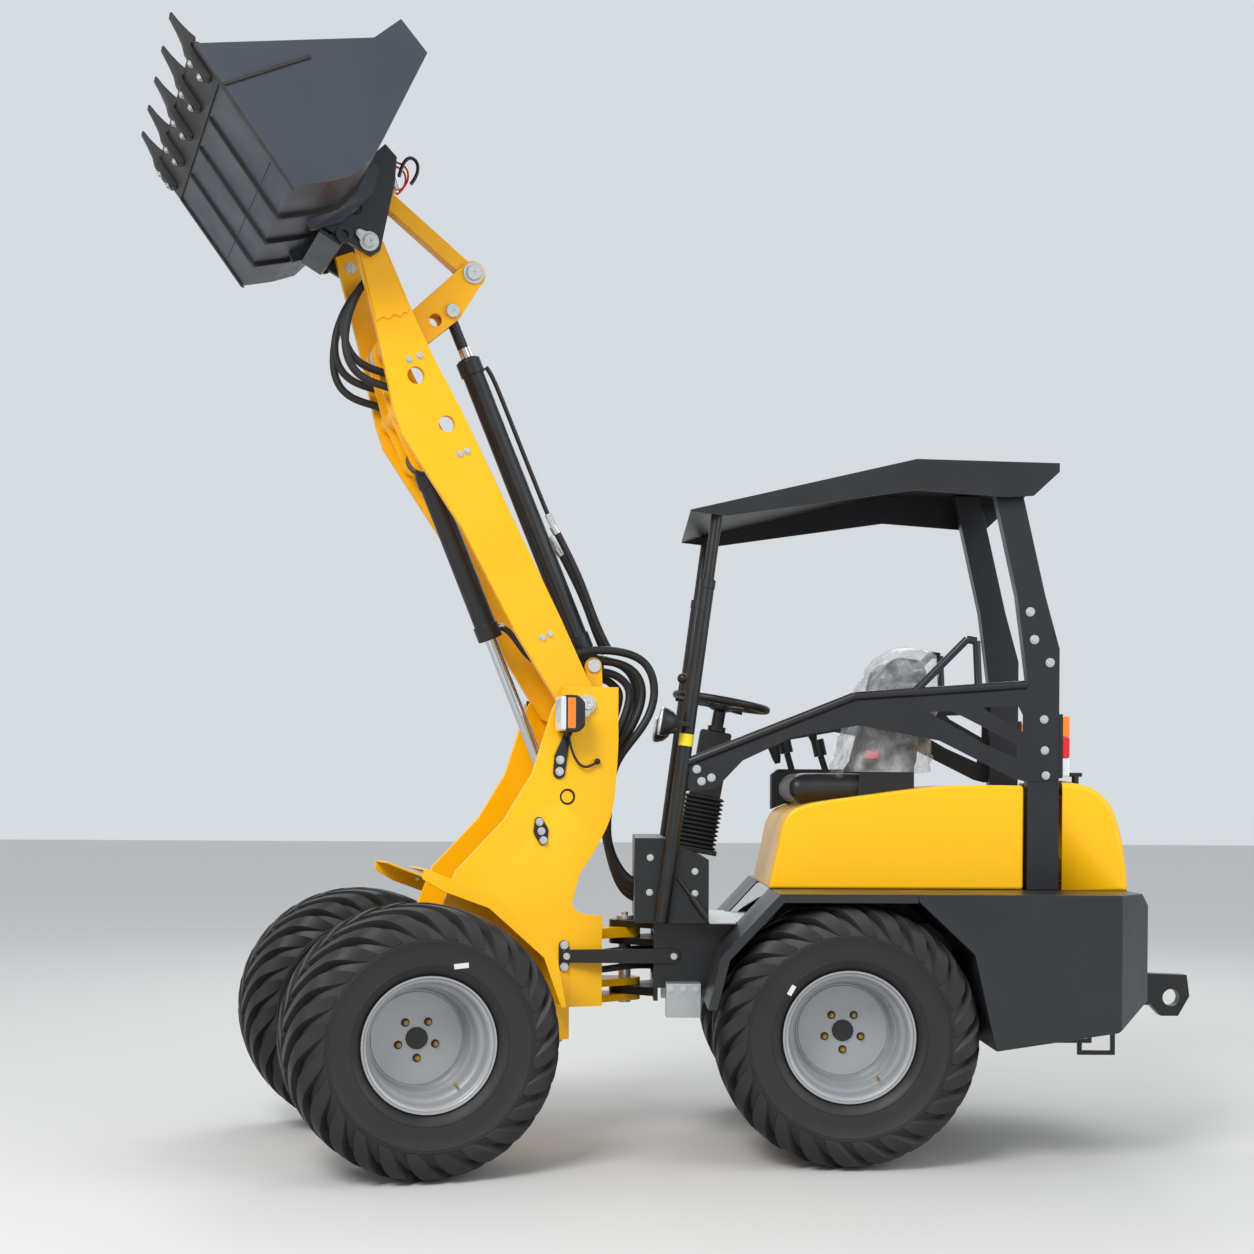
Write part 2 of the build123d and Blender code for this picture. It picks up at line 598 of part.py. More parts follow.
def steering_cylinder():
    """Level cylinder beside the pivot; the rod's eye is solid and free."""
    turn = math.radians(STEER_REST)
    foot = Vector(*STEER_REAR, STEER_Z)
    eye_x = STEER_FRONT[0] * math.cos(turn) - STEER_FRONT[1] * math.sin(turn)
    eye_y = STEER_FRONT[0] * math.sin(turn) + STEER_FRONT[1] * math.cos(turn)
    eye = Vector(eye_x, eye_y, STEER_Z)
    way = (eye - foot).normalized()
    barrel = round_bar(foot + way * 27, foot + way * STEER_BARREL_L, STEER_BARREL_R)
    barrel -= round_bar(foot + way * 45, foot + way * (STEER_BARREL_L + 1), STEER_ROD_R + RUNNING)
    up = Vector(0, 0, STEER_EYE_HALF)
    barrel += round_bar(foot - up, foot + up, 34)
    barrel -= round_bar(foot - up * 2, foot + up * 2, 14 + RUNNING)
    rod = round_bar(foot + way * (STEER_BARREL_L - STEER_ROD_IN), eye, STEER_ROD_R)
    rod += round_bar(eye - up, eye + up, 24)
    return barrel, rod


def fenders():
    """Folded mudguards over the rear wheels."""
    foot_z = DECK - 371
    knee_z = DECK - 202
    outer = ((-261, foot_z), (-302, knee_z), (-490, DECK), (-929, DECK))
    inner = ((-929, DECK - SHEET), (-492, DECK - SHEET), (-307, knee_z - 2), (-266, foot_z))
    strip = plate(outer + inner, FRAME_IN + FRAME_T, BODY_HALF)
    lip_inner = ((-929, DECK - 28), (-502, DECK - 28), (-330, knee_z - 10), (-290, foot_z))
    lip = plate(outer + lip_inner, BODY_HALF - 4, BODY_HALF)
    return both_sides(strip + lip)


def side_tanks():
    """Tanks behind the rear wheels, tapered below and at the tail corners."""
    outline = (
        (-930, DECK), (-930, DECK - 23), (-1110, DECK - 192), (-1180, 390), (TAIL_REAR + 140, 450),
        (TAIL_REAR, 535), (TAIL_REAR, DECK - 40), (TAIL_REAR + 30, DECK),
    )
    inner = FRAME_IN + FRAME_T + SEAT
    corner = outline_face((
        (TAIL_REAR, BODY_HALF - 170), (TAIL_REAR, BODY_HALF + 30), (TAIL_REAR + 130, BODY_HALF + 30),
        (TAIL_REAR + 130, BODY_HALF)))
    tank = plate(outline, inner, BODY_HALF) - extrude(plan_plane(300) * corner, amount=700)
    space_face = offset(outline_face(outline), amount=-SHEET)
    space = extrude(side_plane(BODY_HALF - SHEET) * space_face, amount=BODY_HALF - inner - 2 * SHEET, dir=(0, -1, 0))
    return both_sides(tank - (space - extrude(plan_plane(300) * offset(corner, amount=SHEET), amount=700)))


def counterweight():
    """Cast tail slab between the tanks with the deck over the engine bay and the hatch's hinge lugs."""
    inner = FRAME_IN + FRAME_T
    front = FRAME_BACK - SEAT
    whole = block(TAIL_REAR, TAIL_REAR + TAIL_T, -inner, inner, TAIL_BOTTOM, DECK)
    whole += block(TAIL_REAR, front, -inner, inner, DECK - TAIL_DECK_T, DECK)
    whole += block(TAIL_REAR, front, -inner, inner, TAIL_BOTTOM, TAIL_BOTTOM + TAIL_DECK_T)
    lug_in = HINGE_Y + HINGE_L / 2 + SEAT
    lug = block(HATCH_HINGE[0] - HINGE_R, HATCH_HINGE[0] + HINGE_R, lug_in, lug_in + HINGE_LUG_T, DECK, HATCH_HINGE[1])
    lug += cross_bar(HATCH_HINGE, lug_in, lug_in + HINGE_LUG_T, HINGE_R)
    pin = cross_bar(HATCH_HINGE, HINGE_Y - HINGE_L / 2, lug_in + HINGE_LUG_T, HINGE_PIN_R)
    return whole + both_sides(lug + pin)


def hood_shell():
    """Bevelled bonnet round the engine with a recess for the seat."""
    outline = ((-480, DECK), (-530, 1140), (-585, 1170), (-754, 1197), (-1064, 1241), (-1336, 1241), (-1336, DECK))
    whole = plate(outline, -HOOD_HALF, HOOD_HALF)
    for side in (-1, 1):
        bevel = extrude(Plane(origin=(-1400, 0, 0), x_dir=(0, 1, 0), z_dir=(1, 0, 0)) * outline_face((
            (side * (HOOD_HALF - 60), 1300), (side * (HOOD_HALF - 60), 1245), (side * HOOD_HALF, 1160),
            (side * (HOOD_HALF + 20), 1160), (side * (HOOD_HALF + 20), 1300))), amount=1000)
        whole -= bevel
    whole -= block(-1110, -400, -262, 262, 1150, 1300)
    cavity = plate(((-492, DECK - 10), (-540, 1134), (-590, 1162), (-754, 1190), (-1064, 1234), (-1330, 1234),
                    (-1330, DECK - 10)), -HOOD_HALF + HOOD_T + 4, HOOD_HALF - HOOD_T - 4)
    for side in (-1, 1):
        cavity -= extrude(Plane(origin=(-1400, 0, 0), x_dir=(0, 1, 0), z_dir=(1, 0, 0)) * outline_face((
            (side * (HOOD_HALF - 70), 1300), (side * (HOOD_HALF - 70), 1235), (side * (HOOD_HALF - 8), 1150),
            (side * (HOOD_HALF + 20), 1150), (side * (HOOD_HALF + 20), 1300))), amount=1000)
    cavity -= block(-1116, -400, -268, 268, 1144, 1300)
    return whole - cavity


def rear_hatch():
    """Curved tail panel with a louvre strip, hinged at its foot."""
    outline = ((-1467, DECK + SEAT), (-1467, 1254), (-1540, 1245), (-1627, 1193), (-1668, 1083), (-1693, DECK + SEAT))
    inner = ((-1460, DECK - 9), (-1460, 1246), (-1538, 1238), (-1621, 1188), (-1661, 1080), (-1686, DECK - 9))
    whole = plate(outline, -HOOD_HALF + 5, HOOD_HALF - 5) - plate(inner, -HOOD_HALF + 12, HOOD_HALF - 12)
    knuckle_end = HINGE_Y + HINGE_L / 2
    knuckle = cross_bar(HATCH_HINGE, HINGE_Y - HINGE_L / 2, knuckle_end, HINGE_R)
    bore = cross_bar(HATCH_HINGE, 0, HOOD_HALF, HINGE_PIN_R + RUNNING)
    notch_z = HATCH_HINGE[1] + HINGE_R + CLEAR
    notch = block(TAIL_REAR, -1600, knuckle_end, knuckle_end + HINGE_LUG_T + 2 * SEAT, DECK, notch_z)
    return whole + both_sides(knuckle) - both_sides(bore + notch)


def floor_plate():
    """Galvanised foot plate between the console and the bonnet, with the step box below."""
    outline = ((-282, -345), (-282, 345), (-372, 345), (-372, 256), (-478, 256), (-478, -256), (-372, -256), (-372, -345))
    floor = flat_plate(outline, FRAME_TOP, FRAME_TOP + SHEET)
    step = block(-255, -137, FRAME_IN + FRAME_T + SEAT, 345, 455, 569)
    return floor, both_sides(step)


def console():
    """Sheet housing in front of the driver, open towards the frame below."""
    outline = ((-30, FRAME_TOP), (-30, 1058), (-130, 1058), (-280, 985), (-280, FRAME_TOP))
    half = POST_Y - POST_R - SEAT
    space = ((-35, FRAME_TOP - SHEET), (-35, 1053), (-128.8, 1053), (-275, 981.8), (-275, FRAME_TOP - SHEET))
    return plate(outline, -half, half) - plate(space, SHEET - half, half - SHEET)


def steering_column():
    """Bellows, shroud and shaft up to the steering wheel's hub."""
    middle = towards(COLUMN_FOOT, WHEEL_HUB, 215)
    top = towards(COLUMN_FOOT, WHEEL_HUB, 430)
    shaft_end = math.dist(COLUMN_FOOT, WHEEL_HUB) - 30 - SEAT
    bellows = ((-180, 1034), (-275, 987.8), (middle[0] - 60, middle[1] - 10), (middle[0] + 60, middle[1] + 10))
    whole = plate(bellows, -75, 75)
    whole += slanted_box(middle, top, 80, 110)
    return whole + round_bar(at(top), at(towards(COLUMN_FOOT, WHEEL_HUB, shaft_end)), 22)


def slanted_box(start, end, length, width):
    direction = Vector(*at(end)) - Vector(*at(start))
    plane = Plane(origin=at(start), x_dir=(0, 1, 0), z_dir=direction)
    return extrude(plane * Rectangle(width, length), amount=direction.length)


def steering_wheel():
    """Rim, three spokes and hub, tilted with the column."""
    direction = Vector(*at(WHEEL_HUB)) - Vector(*at(COLUMN_FOOT))
    plane = Plane(origin=at(WHEEL_HUB), x_dir=(0, 1, 0), z_dir=direction)
    section = Plane.XZ * Pos(STEERING_R - STEERING_TUBE_R) * RegularPolygon(STEERING_TUBE_R, 6)
    whole = revolve(section, Axis.Z) + Pos(0, 0, -17) * Cylinder(34, 26)
    for i in range(3):
        whole += Rot(0, 0, 120 * i) * Pos(STEERING_R / 2 - 5, 0, -14) * Box(STEERING_R - 30, 26, 8)
    return plane * whole


def seat():
    """Cushion and back on a low base."""
    cushion = plate(((-540, 1180), (-540, 1258), (-570, 1278), (-930, 1278), (-930, 1180)), -240, 240)
    back = plate(((-800, 1278), (-900, 1690), (-930, 1700), (-1040, 1690), (-990, 1278)), -235, 235)
    base = block(-900, -600, -180, 180, 1150, 1180)
    return base + cushion + back


def control_box():
    """Right-hand box with two levers."""
    outline = ((-540, 1153), (-585, 1171), (-754, 1198), (-850, 1212), (-850, 1300), (-565, 1300), (-540, 1280))
    box = plate(outline, -338, -270)
    levers = ((-600, 1420), (-725, 1410))
    for x, z in levers:
        box += round_bar((x - 20, -305, 1290), (x, -305, z - 60), 12)
        box += round_bar((x, -305, z - 60), (x + 14, -305, z), 24)
    return box


def front_posts():
    foot = FRONT_POST_FOOT
    top = FRONT_POST_TOP
    sleeve_top = towards(foot, top, 1160)
    post = round_bar(at(foot, POST_Y), at(sleeve_top, POST_Y), POST_R)
    post += round_bar(at(sleeve_top, POST_Y), at(top, POST_Y), POST_TOP_R)
    return both_sides(post)


def rear_posts():
    half = REAR_POST_L / 2
    outline = (
        (REAR_POST_X - half, DECK), (REAR_POST_X - half, 1700), (REAR_POST_X - half + 50, 1880),
        (-1305, REAR_POST_TOP), (-1213, REAR_POST_TOP), (-1310, 1880), (REAR_POST_X + half, 1590),
        (REAR_POST_X + half, DECK),
    )
    post = plate(outline, HOOD_HALF - REAR_POST_W, HOOD_HALF)
    space = offset(outline_face(outline), amount=-SHEET)
    post -= extrude(side_plane(HOOD_HALF - SHEET) * space, amount=REAR_POST_W - 2 * SHEET, dir=(0, -1, 0))
    return both_sides(post)


def roof():
    """Folded tray, open below."""
    outline = (
        (-209, 2152), (-961, 2325), (-1437, 2314), (-1437, 2285), (-1351, 2205), (-1254, 2200), (-961, 2222),
        (-330, 2132), (-209, 2146),
    )
    tray = plate(outline, -ROOF_HALF, ROOF_HALF)
    cavity = ((-190, 2100), (-190, 2142), (-961, 2320), (-1432, 2309), (-1432, 2100))
    return tray - plate(cavity, -ROOF_HALF + SHEET, ROOF_HALF - SHEET)


def side_rails():
    """Arched rail plates outside the posts, each under a tube, with a grab hoop."""
    top = ((-192, 1308), (-763, 1537), (-1340, 1579))
    under = (
        (-1448, 1579), (-1448, 1260), (-1338, 1255), (-1300, 1265), (-1050, 1390), (-780, 1440), (-560, 1400),
        (-390, 1320), (-300, 1225), (-215, 1215), (-180, 1290),
    )
    cut_outs = (
        ((-1017, 1486), (-1090, 1490), (-1313, 1380), (-1313, 1330), (-1200, 1380), (-1040, 1470)),
        ((-1198, 1503), (-1315, 1507), (-1330, 1478), (-1330, 1422), (-1210, 1490)),
    )
    near = HOOD_HALF + SEAT
    rail = plate(top + under, near, near + SHEET)
    for cut_out in cut_outs:
        rail -= plate(cut_out, near, near + SHEET)
    tube_y = near + SHEET / 2
    for start, end in zip(top, top[1:]):
        rail += round_bar(at(start, tube_y), at(end, tube_y), 15)
    hoop = ((-957, 1545), (-1140, 1730), (-1172, 1725), (-1180, 1570))
    for start, end in zip(hoop, hoop[1:]):
        rail += round_bar(at(start, tube_y), at(end, tube_y), 13)
    rail -= round_bar(at(FRONT_POST_FOOT, POST_Y), at(FRONT_POST_TOP, POST_Y), POST_R + SEAT)
    return both_sides(rail)


def tail_lamps():
    x = REAR_POST_X - REAR_POST_L / 2
    return both_sides(block(x - 40, x, 295, 345, 1260, 1550))


def work_lamps():
    lamp = round_bar((-165, 402, 1440), (-105, 402, 1450), 48) + block(-215, -150, 350, 420, 1425, 1465)
    return both_sides(lamp - round_bar(at(FRONT_POST_FOOT, POST_Y), at(FRONT_POST_TOP, POST_Y), POST_R + SEAT))


def tow_hook():
    """Neck and open hook on the tail."""
    back = TAIL_REAR - 140
    outline = ((back, 580), (back - 140, 575), (back - 150, 500), (back - 110, 430), (back - 50, 430), (back, 480))
    eye = plate(outline, -25, 25, holes=((back - 85, 495, 30),))
    return block(back - 1, TAIL_REAR, -40, 40, 470, 560) + eye


def tie_down():
    """Rectangular loop under the tail."""
    top = TAIL_BOTTOM - SEAT
    front = TAIL_REAR + 140
    back = TAIL_REAR + 10
    loop = plate(((front, top), (front, top - 120), (back, top - 120), (back, top)), 150, 166)
    space = ((front - 15, top + 1), (front - 15, top - 105), (back + 15, top - 105), (back + 15, top + 1))
    return both_sides(loop - plate(space, 150, 166))


def engine_block():
    engine = block(-1320, -900, -180, 180, 500, 1090)
    for x in (-1250, -970):
        engine += block(x - 30, x + 30, -FRAME_IN + SEAT, FRAME_IN - SEAT, 620, 660)
    return engine


# ---- assembly -----------------------------------------------------------------------------------------------------
def turned(shape):
    """A piece of the front half, turned about the articulation pin."""
    return Rot(0, 0, STEER_REST) * shape


def save(name, shape):
    export_step(Pos(-CENTRE_X, -CENTRE_Y, 0) * shape, f"parts/{name}.step")


def main():
    os.makedirs("parts", exist_ok=True)
    lift_barrel, lift_rod = barrel_and_rod(
        LIFT_TOP, LIFT_FOOT, 655, 60, LIFT_BARREL_R, LIFT_ROD_R, MID_PLATE_IN - SEAT, LIFT_EYE_HALF, PIN_R, 42, 36)
    tilt_barrel, tilt_rod = barrel_and_rod(
        TILT_BASE, ROCKER_ROD, 1130, 200, TILT_BARREL_R, TILT_ROD_R, TILT_BASE_HALF, TILT_EYE_HALF, SMALL_PIN_R, 44, 32)
    steer_barrel, steer_rod = steering_cylinder()
    floor, steps = floor_plate()
    front = {
        "front_frame": front_frame(),
        "front_axle": axle(FRONT_AXLE_X),
        "boom_pins": boom_pins(),
        "front_mudguards": mudguards(),
        "headlamps": headlamps(),
        "boom": boom(),
        "lift_barrel": lift_barrel,
        "lift_rod": lift_rod,
        "tilt_pin": headed_pin(TILT_BASE, TILT_BASE_HALF + SEAT + TILT_LUG_T, SMALL_PIN_R, SMALL_PIN_R + 6),
        "tilt_barrel": tilt_barrel,
        "tilt_rod": tilt_rod,
        "rocker_pin": rocker_pin(),
        "rocker": rocker(),
        "link_pin": link_pin(),
        "tilt_link": link_bar(),
        "tip_pins": tip_pins(),
        "coupler": coupler(),
        "bucket": bucket(),
        "cutting_edge": cutting_edge(),
    }
    rear = {
        "rear_frame": rear_frame(),
        "articulation_pin": articulation_pin(),
        "rear_axle": axle(REAR_AXLE_X),
        "rear_mudguards": fenders(),
        "side_tanks": side_tanks(),
        "counterweight": counterweight(),
        "engine_block": engine_block(),
        "hood_shell": hood_shell(),
        "rear_hatch": rear_hatch(),
        "floor_plate": floor,
        "step_boxes": steps,
        "console": console(),
        "steering_column": steering_column(),
        "steering_wheel": steering_wheel(),
        "seat": seat(),
        "control_box": control_box(),
        "front_posts": front_posts(),
        "rear_posts": rear_posts(),
        "roof": roof(),
        "side_rails": side_rails(),
        "tail_lamps": tail_lamps(),
        "work_lamps": work_lamps(),
        "tow_hook": tow_hook(),
        "tie_down_loops": tie_down(),
        "steer_barrel": steer_barrel,
        "steer_rod": steer_rod,
    }
    left_wheel = {"tyre": Pos(0, HALF_TRACK, AXLE_Z) * tyre(), "rim": Pos(0, HALF_TRACK, AXLE_Z) * rim()}
    for end, x, group in (("front", FRONT_AXLE_X, front), ("rear", REAR_AXLE_X, rear)):
        for piece, shape in left_wheel.items():
            group[f"{end}_left_{piece}"] = Pos(x, 0, 0) * shape
            group[f"{end}_right_{piece}"] = Pos(x, 0, 0) * mirror(shape, about=Plane.XZ)
    for name, shape in front.items():
        save(name, turned(shape))
    for name, shape in rear.items():
        save(name, shape)


if __name__ == "__main__":
    main()
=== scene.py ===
import bpy
import bmesh
import json
import math
from mathutils import Matrix, Vector, noise


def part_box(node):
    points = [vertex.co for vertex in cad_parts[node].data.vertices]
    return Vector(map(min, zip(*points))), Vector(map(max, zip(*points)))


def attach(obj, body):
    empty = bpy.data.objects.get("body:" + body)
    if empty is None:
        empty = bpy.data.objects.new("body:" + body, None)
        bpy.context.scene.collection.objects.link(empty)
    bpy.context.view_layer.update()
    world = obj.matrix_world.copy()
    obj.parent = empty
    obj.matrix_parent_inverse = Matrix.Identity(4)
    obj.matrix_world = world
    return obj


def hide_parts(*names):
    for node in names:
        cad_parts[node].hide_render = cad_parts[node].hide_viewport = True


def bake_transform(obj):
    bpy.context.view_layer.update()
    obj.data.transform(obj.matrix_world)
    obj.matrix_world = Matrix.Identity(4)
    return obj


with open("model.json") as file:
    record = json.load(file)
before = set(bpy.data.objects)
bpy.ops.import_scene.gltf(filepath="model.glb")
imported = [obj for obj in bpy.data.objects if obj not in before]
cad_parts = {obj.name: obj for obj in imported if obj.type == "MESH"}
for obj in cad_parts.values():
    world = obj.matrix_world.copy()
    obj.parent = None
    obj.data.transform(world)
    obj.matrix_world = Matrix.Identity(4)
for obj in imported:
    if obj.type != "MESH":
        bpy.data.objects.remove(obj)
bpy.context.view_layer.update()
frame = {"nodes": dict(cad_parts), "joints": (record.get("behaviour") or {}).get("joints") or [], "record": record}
nodes = frame["nodes"]
bodyOf = {node: body for body, names in frame["record"]["behaviour"]["bodies"].items() for node in names}
print("frame loaded:", len(nodes), "nodes")

# Places are metres from the articulation pin: X forwards, Y left, Z up from the ground.
# The front half is drawn straight ahead and turned about the pin by frontPlace.
pinLow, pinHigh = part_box("articulation_pin")
pivot = Vector(((pinLow.x + pinHigh.x) / 2, (pinLow.y + pinHigh.y) / 2, 0))
liftAxis = next(j for j in frame["joints"] if j["name"] == "lift")["axis"]
frontTurn = math.atan2(-liftAxis[0], liftAxis[1])
rearPlace = Matrix.Translation(pivot)
frontPlace = rearPlace @ Matrix.Rotation(frontTurn, 4, "Z")
flanks = (("left", 1), ("right", -1))       # a side's name and the sign of its Y


# shapes: each is a list of points and a list of faces
def extruded(count):
    # the faces between two equal outlines, one after the other in the points
    walls = [[i, (i + 1) % count, (i + 1) % count + count, i + count] for i in range(count)]
    return walls + [list(range(count))[::-1], list(range(count, 2 * count))]


def prism(outline, yLow, yHigh):
    # a side-view outline (x, z) between two widths
    return [(x, y, z) for y in (yLow, yHigh) for x, z in outline], extruded(len(outline))


def slab(outline, zLow, zHigh):
    # a plan outline (x, y) between two heights
    return [(x, y, z) for z in (zLow, zHigh) for x, y in outline], extruded(len(outline))


def plate(outline, side, face, thick):
    # a side-view outline on one side of the loader, from a face outwards
    low, high = sorted((side * face, side * (face + thick)))
    return prism(outline, low, high)


def crate(xLow, xHigh, yLow, yHigh, zLow, zHigh):
    return slab(((xLow, yLow), (xHigh, yLow), (xHigh, yHigh), (xLow, yHigh)), zLow, zHigh)


def lathe(profile, start, way, sides=48, closed=False):
    # profile: (radius, distance along the axis from start)
    start = Vector(start)
    turn = Vector(way).normalized().to_track_quat("Z", "Y").to_matrix()
    points = []
    faces = []
    for radius, along in profile:
        for i in range(sides):
            a = 2 * math.pi * i / sides
            points.append(start + turn @ Vector((radius * math.cos(a), radius * math.sin(a), along)))
    rows = len(profile)
    for row in range(rows if closed else rows - 1):
        low = row * sides
        high = ((row + 1) % rows) * sides
        for i in range(sides):
            j = (i + 1) % sides
            faces.append([low + i, low + j, high + j, high + i])
    if not closed:
        faces += [list(range(sides))[::-1], list(range((rows - 1) * sides, rows * sides))]
    return points, faces


def rod(start, end, radius, sides=24, endRadius=None):
    way = Vector(end) - Vector(start)
    return lathe(((radius, 0), (radius if endRadius is None else endRadius, way.length)), start, way, sides)


def roundEnd(radius, length, soften):
    # profile of a bar with softened ends
    return ((radius - soften, 0), (radius, soften), (radius, length - soften), (radius - soften, length))


def ball(radius, base, rows):
    # profile of a ball that stands on base
    turns = [math.pi * (i + 0.5) / rows for i in range(rows)]
    return [(radius * math.sin(a), base + radius - radius * math.cos(a)) for a in turns]


def disc(x, z, y, side, radius, height, soften=0.0015, sides=28):
    return lathe(roundEnd(radius, height, soften), (x, y, z), (0, side, 0), sides)


def arcPoints(centre, radius, fromDeg, toDeg, steps):
    return [(
        centre[0] + radius * math.cos(math.radians(fromDeg + (toDeg - fromDeg) * i / steps)),
        centre[1] + radius * math.sin(math.radians(fromDeg + (toDeg - fromDeg) * i / steps)),
    ) for i in range(steps + 1)]


def eased(points, steps=6):
    # a smooth line through the points
    ends = [points[0], *points, points[-1]]
    line = []
    for a, b, c, d in zip(ends, ends[1:], ends[2:], ends[3:]):
        for i in range(steps):
            t = i / steps
            line.append(tuple(0.5 * (
                2 * q + (r - p) * t + (2 * p - 5 * q + 4 * r - s) * t * t + (3 * q - p - 3 * r + s) * t ** 3)
                for p, q, r, s in zip(a, b, c, d)))
    return line + [points[-1]]


def mirrored(shape):
    points, faces = shape
    return [(x, -y, z) for x, y, z in points], [list(reversed(f)) for f in faces]


def bothSides(*shapes):
    return [s for shape in shapes for s in (shape, mirrored(shape))]


def moved(shape, matrix):
    return [matrix @ Vector(p) for p in shape[0]], shape[1]


def meshOf(name, shapes, place=Matrix.Identity(4)):
    points = []
    faces = []
    for shapePoints, shapeFaces in shapes:
        base = len(points)
        points += [place @ Vector(p) for p in shapePoints]
        faces += [[i + base for i in f] for f in shapeFaces]
    mesh = bpy.data.meshes.new(name)
    mesh.from_pydata(points, [], faces)
    bm = bmesh.new()
    bm.from_mesh(mesh)
    bmesh.ops.remove_doubles(bm, verts=bm.verts, dist=1e-6)
    bmesh.ops.recalc_face_normals(bm, faces=bm.faces)
    bm.to_mesh(mesh)
    bm.free()
    return mesh


def linked(name, data):
    obj = bpy.data.objects.new(name, data)
    bpy.context.scene.collection.objects.link(obj)
    return obj


def evaluated(obj):
    # the object's mesh with its modifiers
    bpy.context.view_layer.update()
    return bpy.data.meshes.new_from_object(obj.evaluated_get(bpy.context.evaluated_depsgraph_get()))


def finished(name, mesh, material, body, bevel=0.0, smooth=40, segments=2):
    # puts a mesh in the scene with its finish, softened edges and body
    mesh.name = name
    obj = linked(name, mesh)
    if material is not None:
        mesh.materials.clear()
        mesh.materials.append(material)
    mesh.polygons.foreach_set("use_smooth", [True] * len(mesh.polygons))
    mesh.set_sharp_from_angle(angle=math.radians(smooth))
    if bevel:
        soften = obj.modifiers.new("edges", "BEVEL")
        soften.width = bevel
        soften.segments = segments
        soften.limit_method = "ANGLE"
        soften.angle_limit = math.radians(30)
        soften.harden_normals = True
    if body is not None:
        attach(obj, body)
    return obj


def piece(name, shapes, place, material, body, bevel=0.0, smooth=40, segments=2):
    return finished(name, meshOf(name, shapes, place), material, body, bevel, smooth, segments)


def dress(node, material, bevel=0.002, segments=2):
    # the CAD node's own form, merged to clean faces, with softened edges and its finish
    mesh = nodes[node].data.copy()
    bm = bmesh.new()
    bm.from_mesh(mesh)
    bmesh.ops.remove_doubles(bm, verts=bm.verts, dist=1e-5)
    bmesh.ops.dissolve_limit(bm, angle_limit=math.radians(0.8), verts=bm.verts, edges=bm.edges)
    bm.to_mesh(mesh)
    bm.free()
    obj = finished(node + "_shape", mesh, material, bodyOf[node], bevel, 25, segments)
    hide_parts(node)


def dressAll(rows):
    # rows: material, bevel, the nodes that take them
    for material, bevel, *names in rows:
        for node in names:
            dress(node, material, bevel)


# Geometry Nodes for what repeats
def newGroup(name, kind, inputs, outputs):
    # a node group with named sockets: inputs (name, type, default), outputs (name, type)
    group = bpy.data.node_groups.new(name, kind)
    for label, socketKind, default in inputs:
        socket = group.interface.new_socket(name=label, in_out="INPUT", socket_type=socketKind)
        if default is not None:
            socket.default_value = default
    for label, socketKind in outputs:
        group.interface.new_socket(name=label, in_out="OUTPUT", socket_type=socketKind)
    return group, group.nodes.new("NodeGroupInput"), group.nodes.new("NodeGroupOutput")


def feed(tree, socket, value):
    # a socket takes another's output, or a plain value
    if isinstance(value, bpy.types.NodeSocket):
        tree.links.new(value, socket)
    else:
        socket.default_value = value


def calc(tree, operation, first, second):
    node = tree.nodes.new("ShaderNodeMath")
    node.operation = operation
    feed(tree, node.inputs[0], first)
    feed(tree, node.inputs[1], second)
    return node.outputs[0]


def newTree(name, inputs):
    shape = ("Geometry", "NodeSocketGeometry")
    return newGroup(name, "GeometryNodeTree", ((*shape, None), *inputs), (shape,))


def finishTree(tree, given, result, geometry):
    realize = tree.nodes.new("GeometryNodeRealizeInstances")
    paint = tree.nodes.new("GeometryNodeSetMaterial")
    tree.links.new(geometry, realize.inputs[0])
    tree.links.new(realize.outputs[0], paint.inputs["Geometry"])
    tree.links.new(given.outputs["Material"], paint.inputs["Material"])
    tree.links.new(paint.outputs[0], result.inputs[0])


def roundTree():
    # copies of the given shape turned about the Y axis
    tree, given, result = newTree("repeatRound", (
        ("Count", "NodeSocketInt", 12), ("Material", "NodeSocketMaterial", None)))
    line = tree.nodes.new("GeometryNodeMeshLine")
    copies = tree.nodes.new("GeometryNodeInstanceOnPoints")
    turn = tree.nodes.new("ShaderNodeCombineXYZ")
    share = calc(tree, "DIVIDE", tree.nodes.new("GeometryNodeInputIndex").outputs[0], given.outputs["Count"])
    feed(tree, line.inputs["Offset"], (0, 0, 0))
    feed(tree, line.inputs["Count"], given.outputs["Count"])
    feed(tree, turn.inputs["Y"], calc(tree, "MULTIPLY", share, 2 * math.pi))
    feed(tree, copies.inputs["Points"], line.outputs[0])
    feed(tree, copies.inputs["Instance"], given.outputs["Geometry"])
    feed(tree, copies.inputs["Rotation"], turn.outputs[0])
    finishTree(tree, given, result, copies.outputs[0])
    return tree


def rowTree():
    # copies of the given shape, one step apart
    tree, given, result = newTree("repeatRow", (
        ("Count", "NodeSocketInt", 5), ("Step", "NodeSocketVector", (0, 0.1, 0)),
        ("Material", "NodeSocketMaterial", None)))
    line = tree.nodes.new("GeometryNodeMeshLine")
    copies = tree.nodes.new("GeometryNodeInstanceOnPoints")
    tree.links.new(given.outputs["Count"], line.inputs["Count"])
    tree.links.new(given.outputs["Step"], line.inputs["Offset"])
    tree.links.new(line.outputs[0], copies.inputs["Points"])
    tree.links.new(given.outputs["Geometry"], copies.inputs["Instance"])
    finishTree(tree, given, result, copies.outputs[0])
    return tree


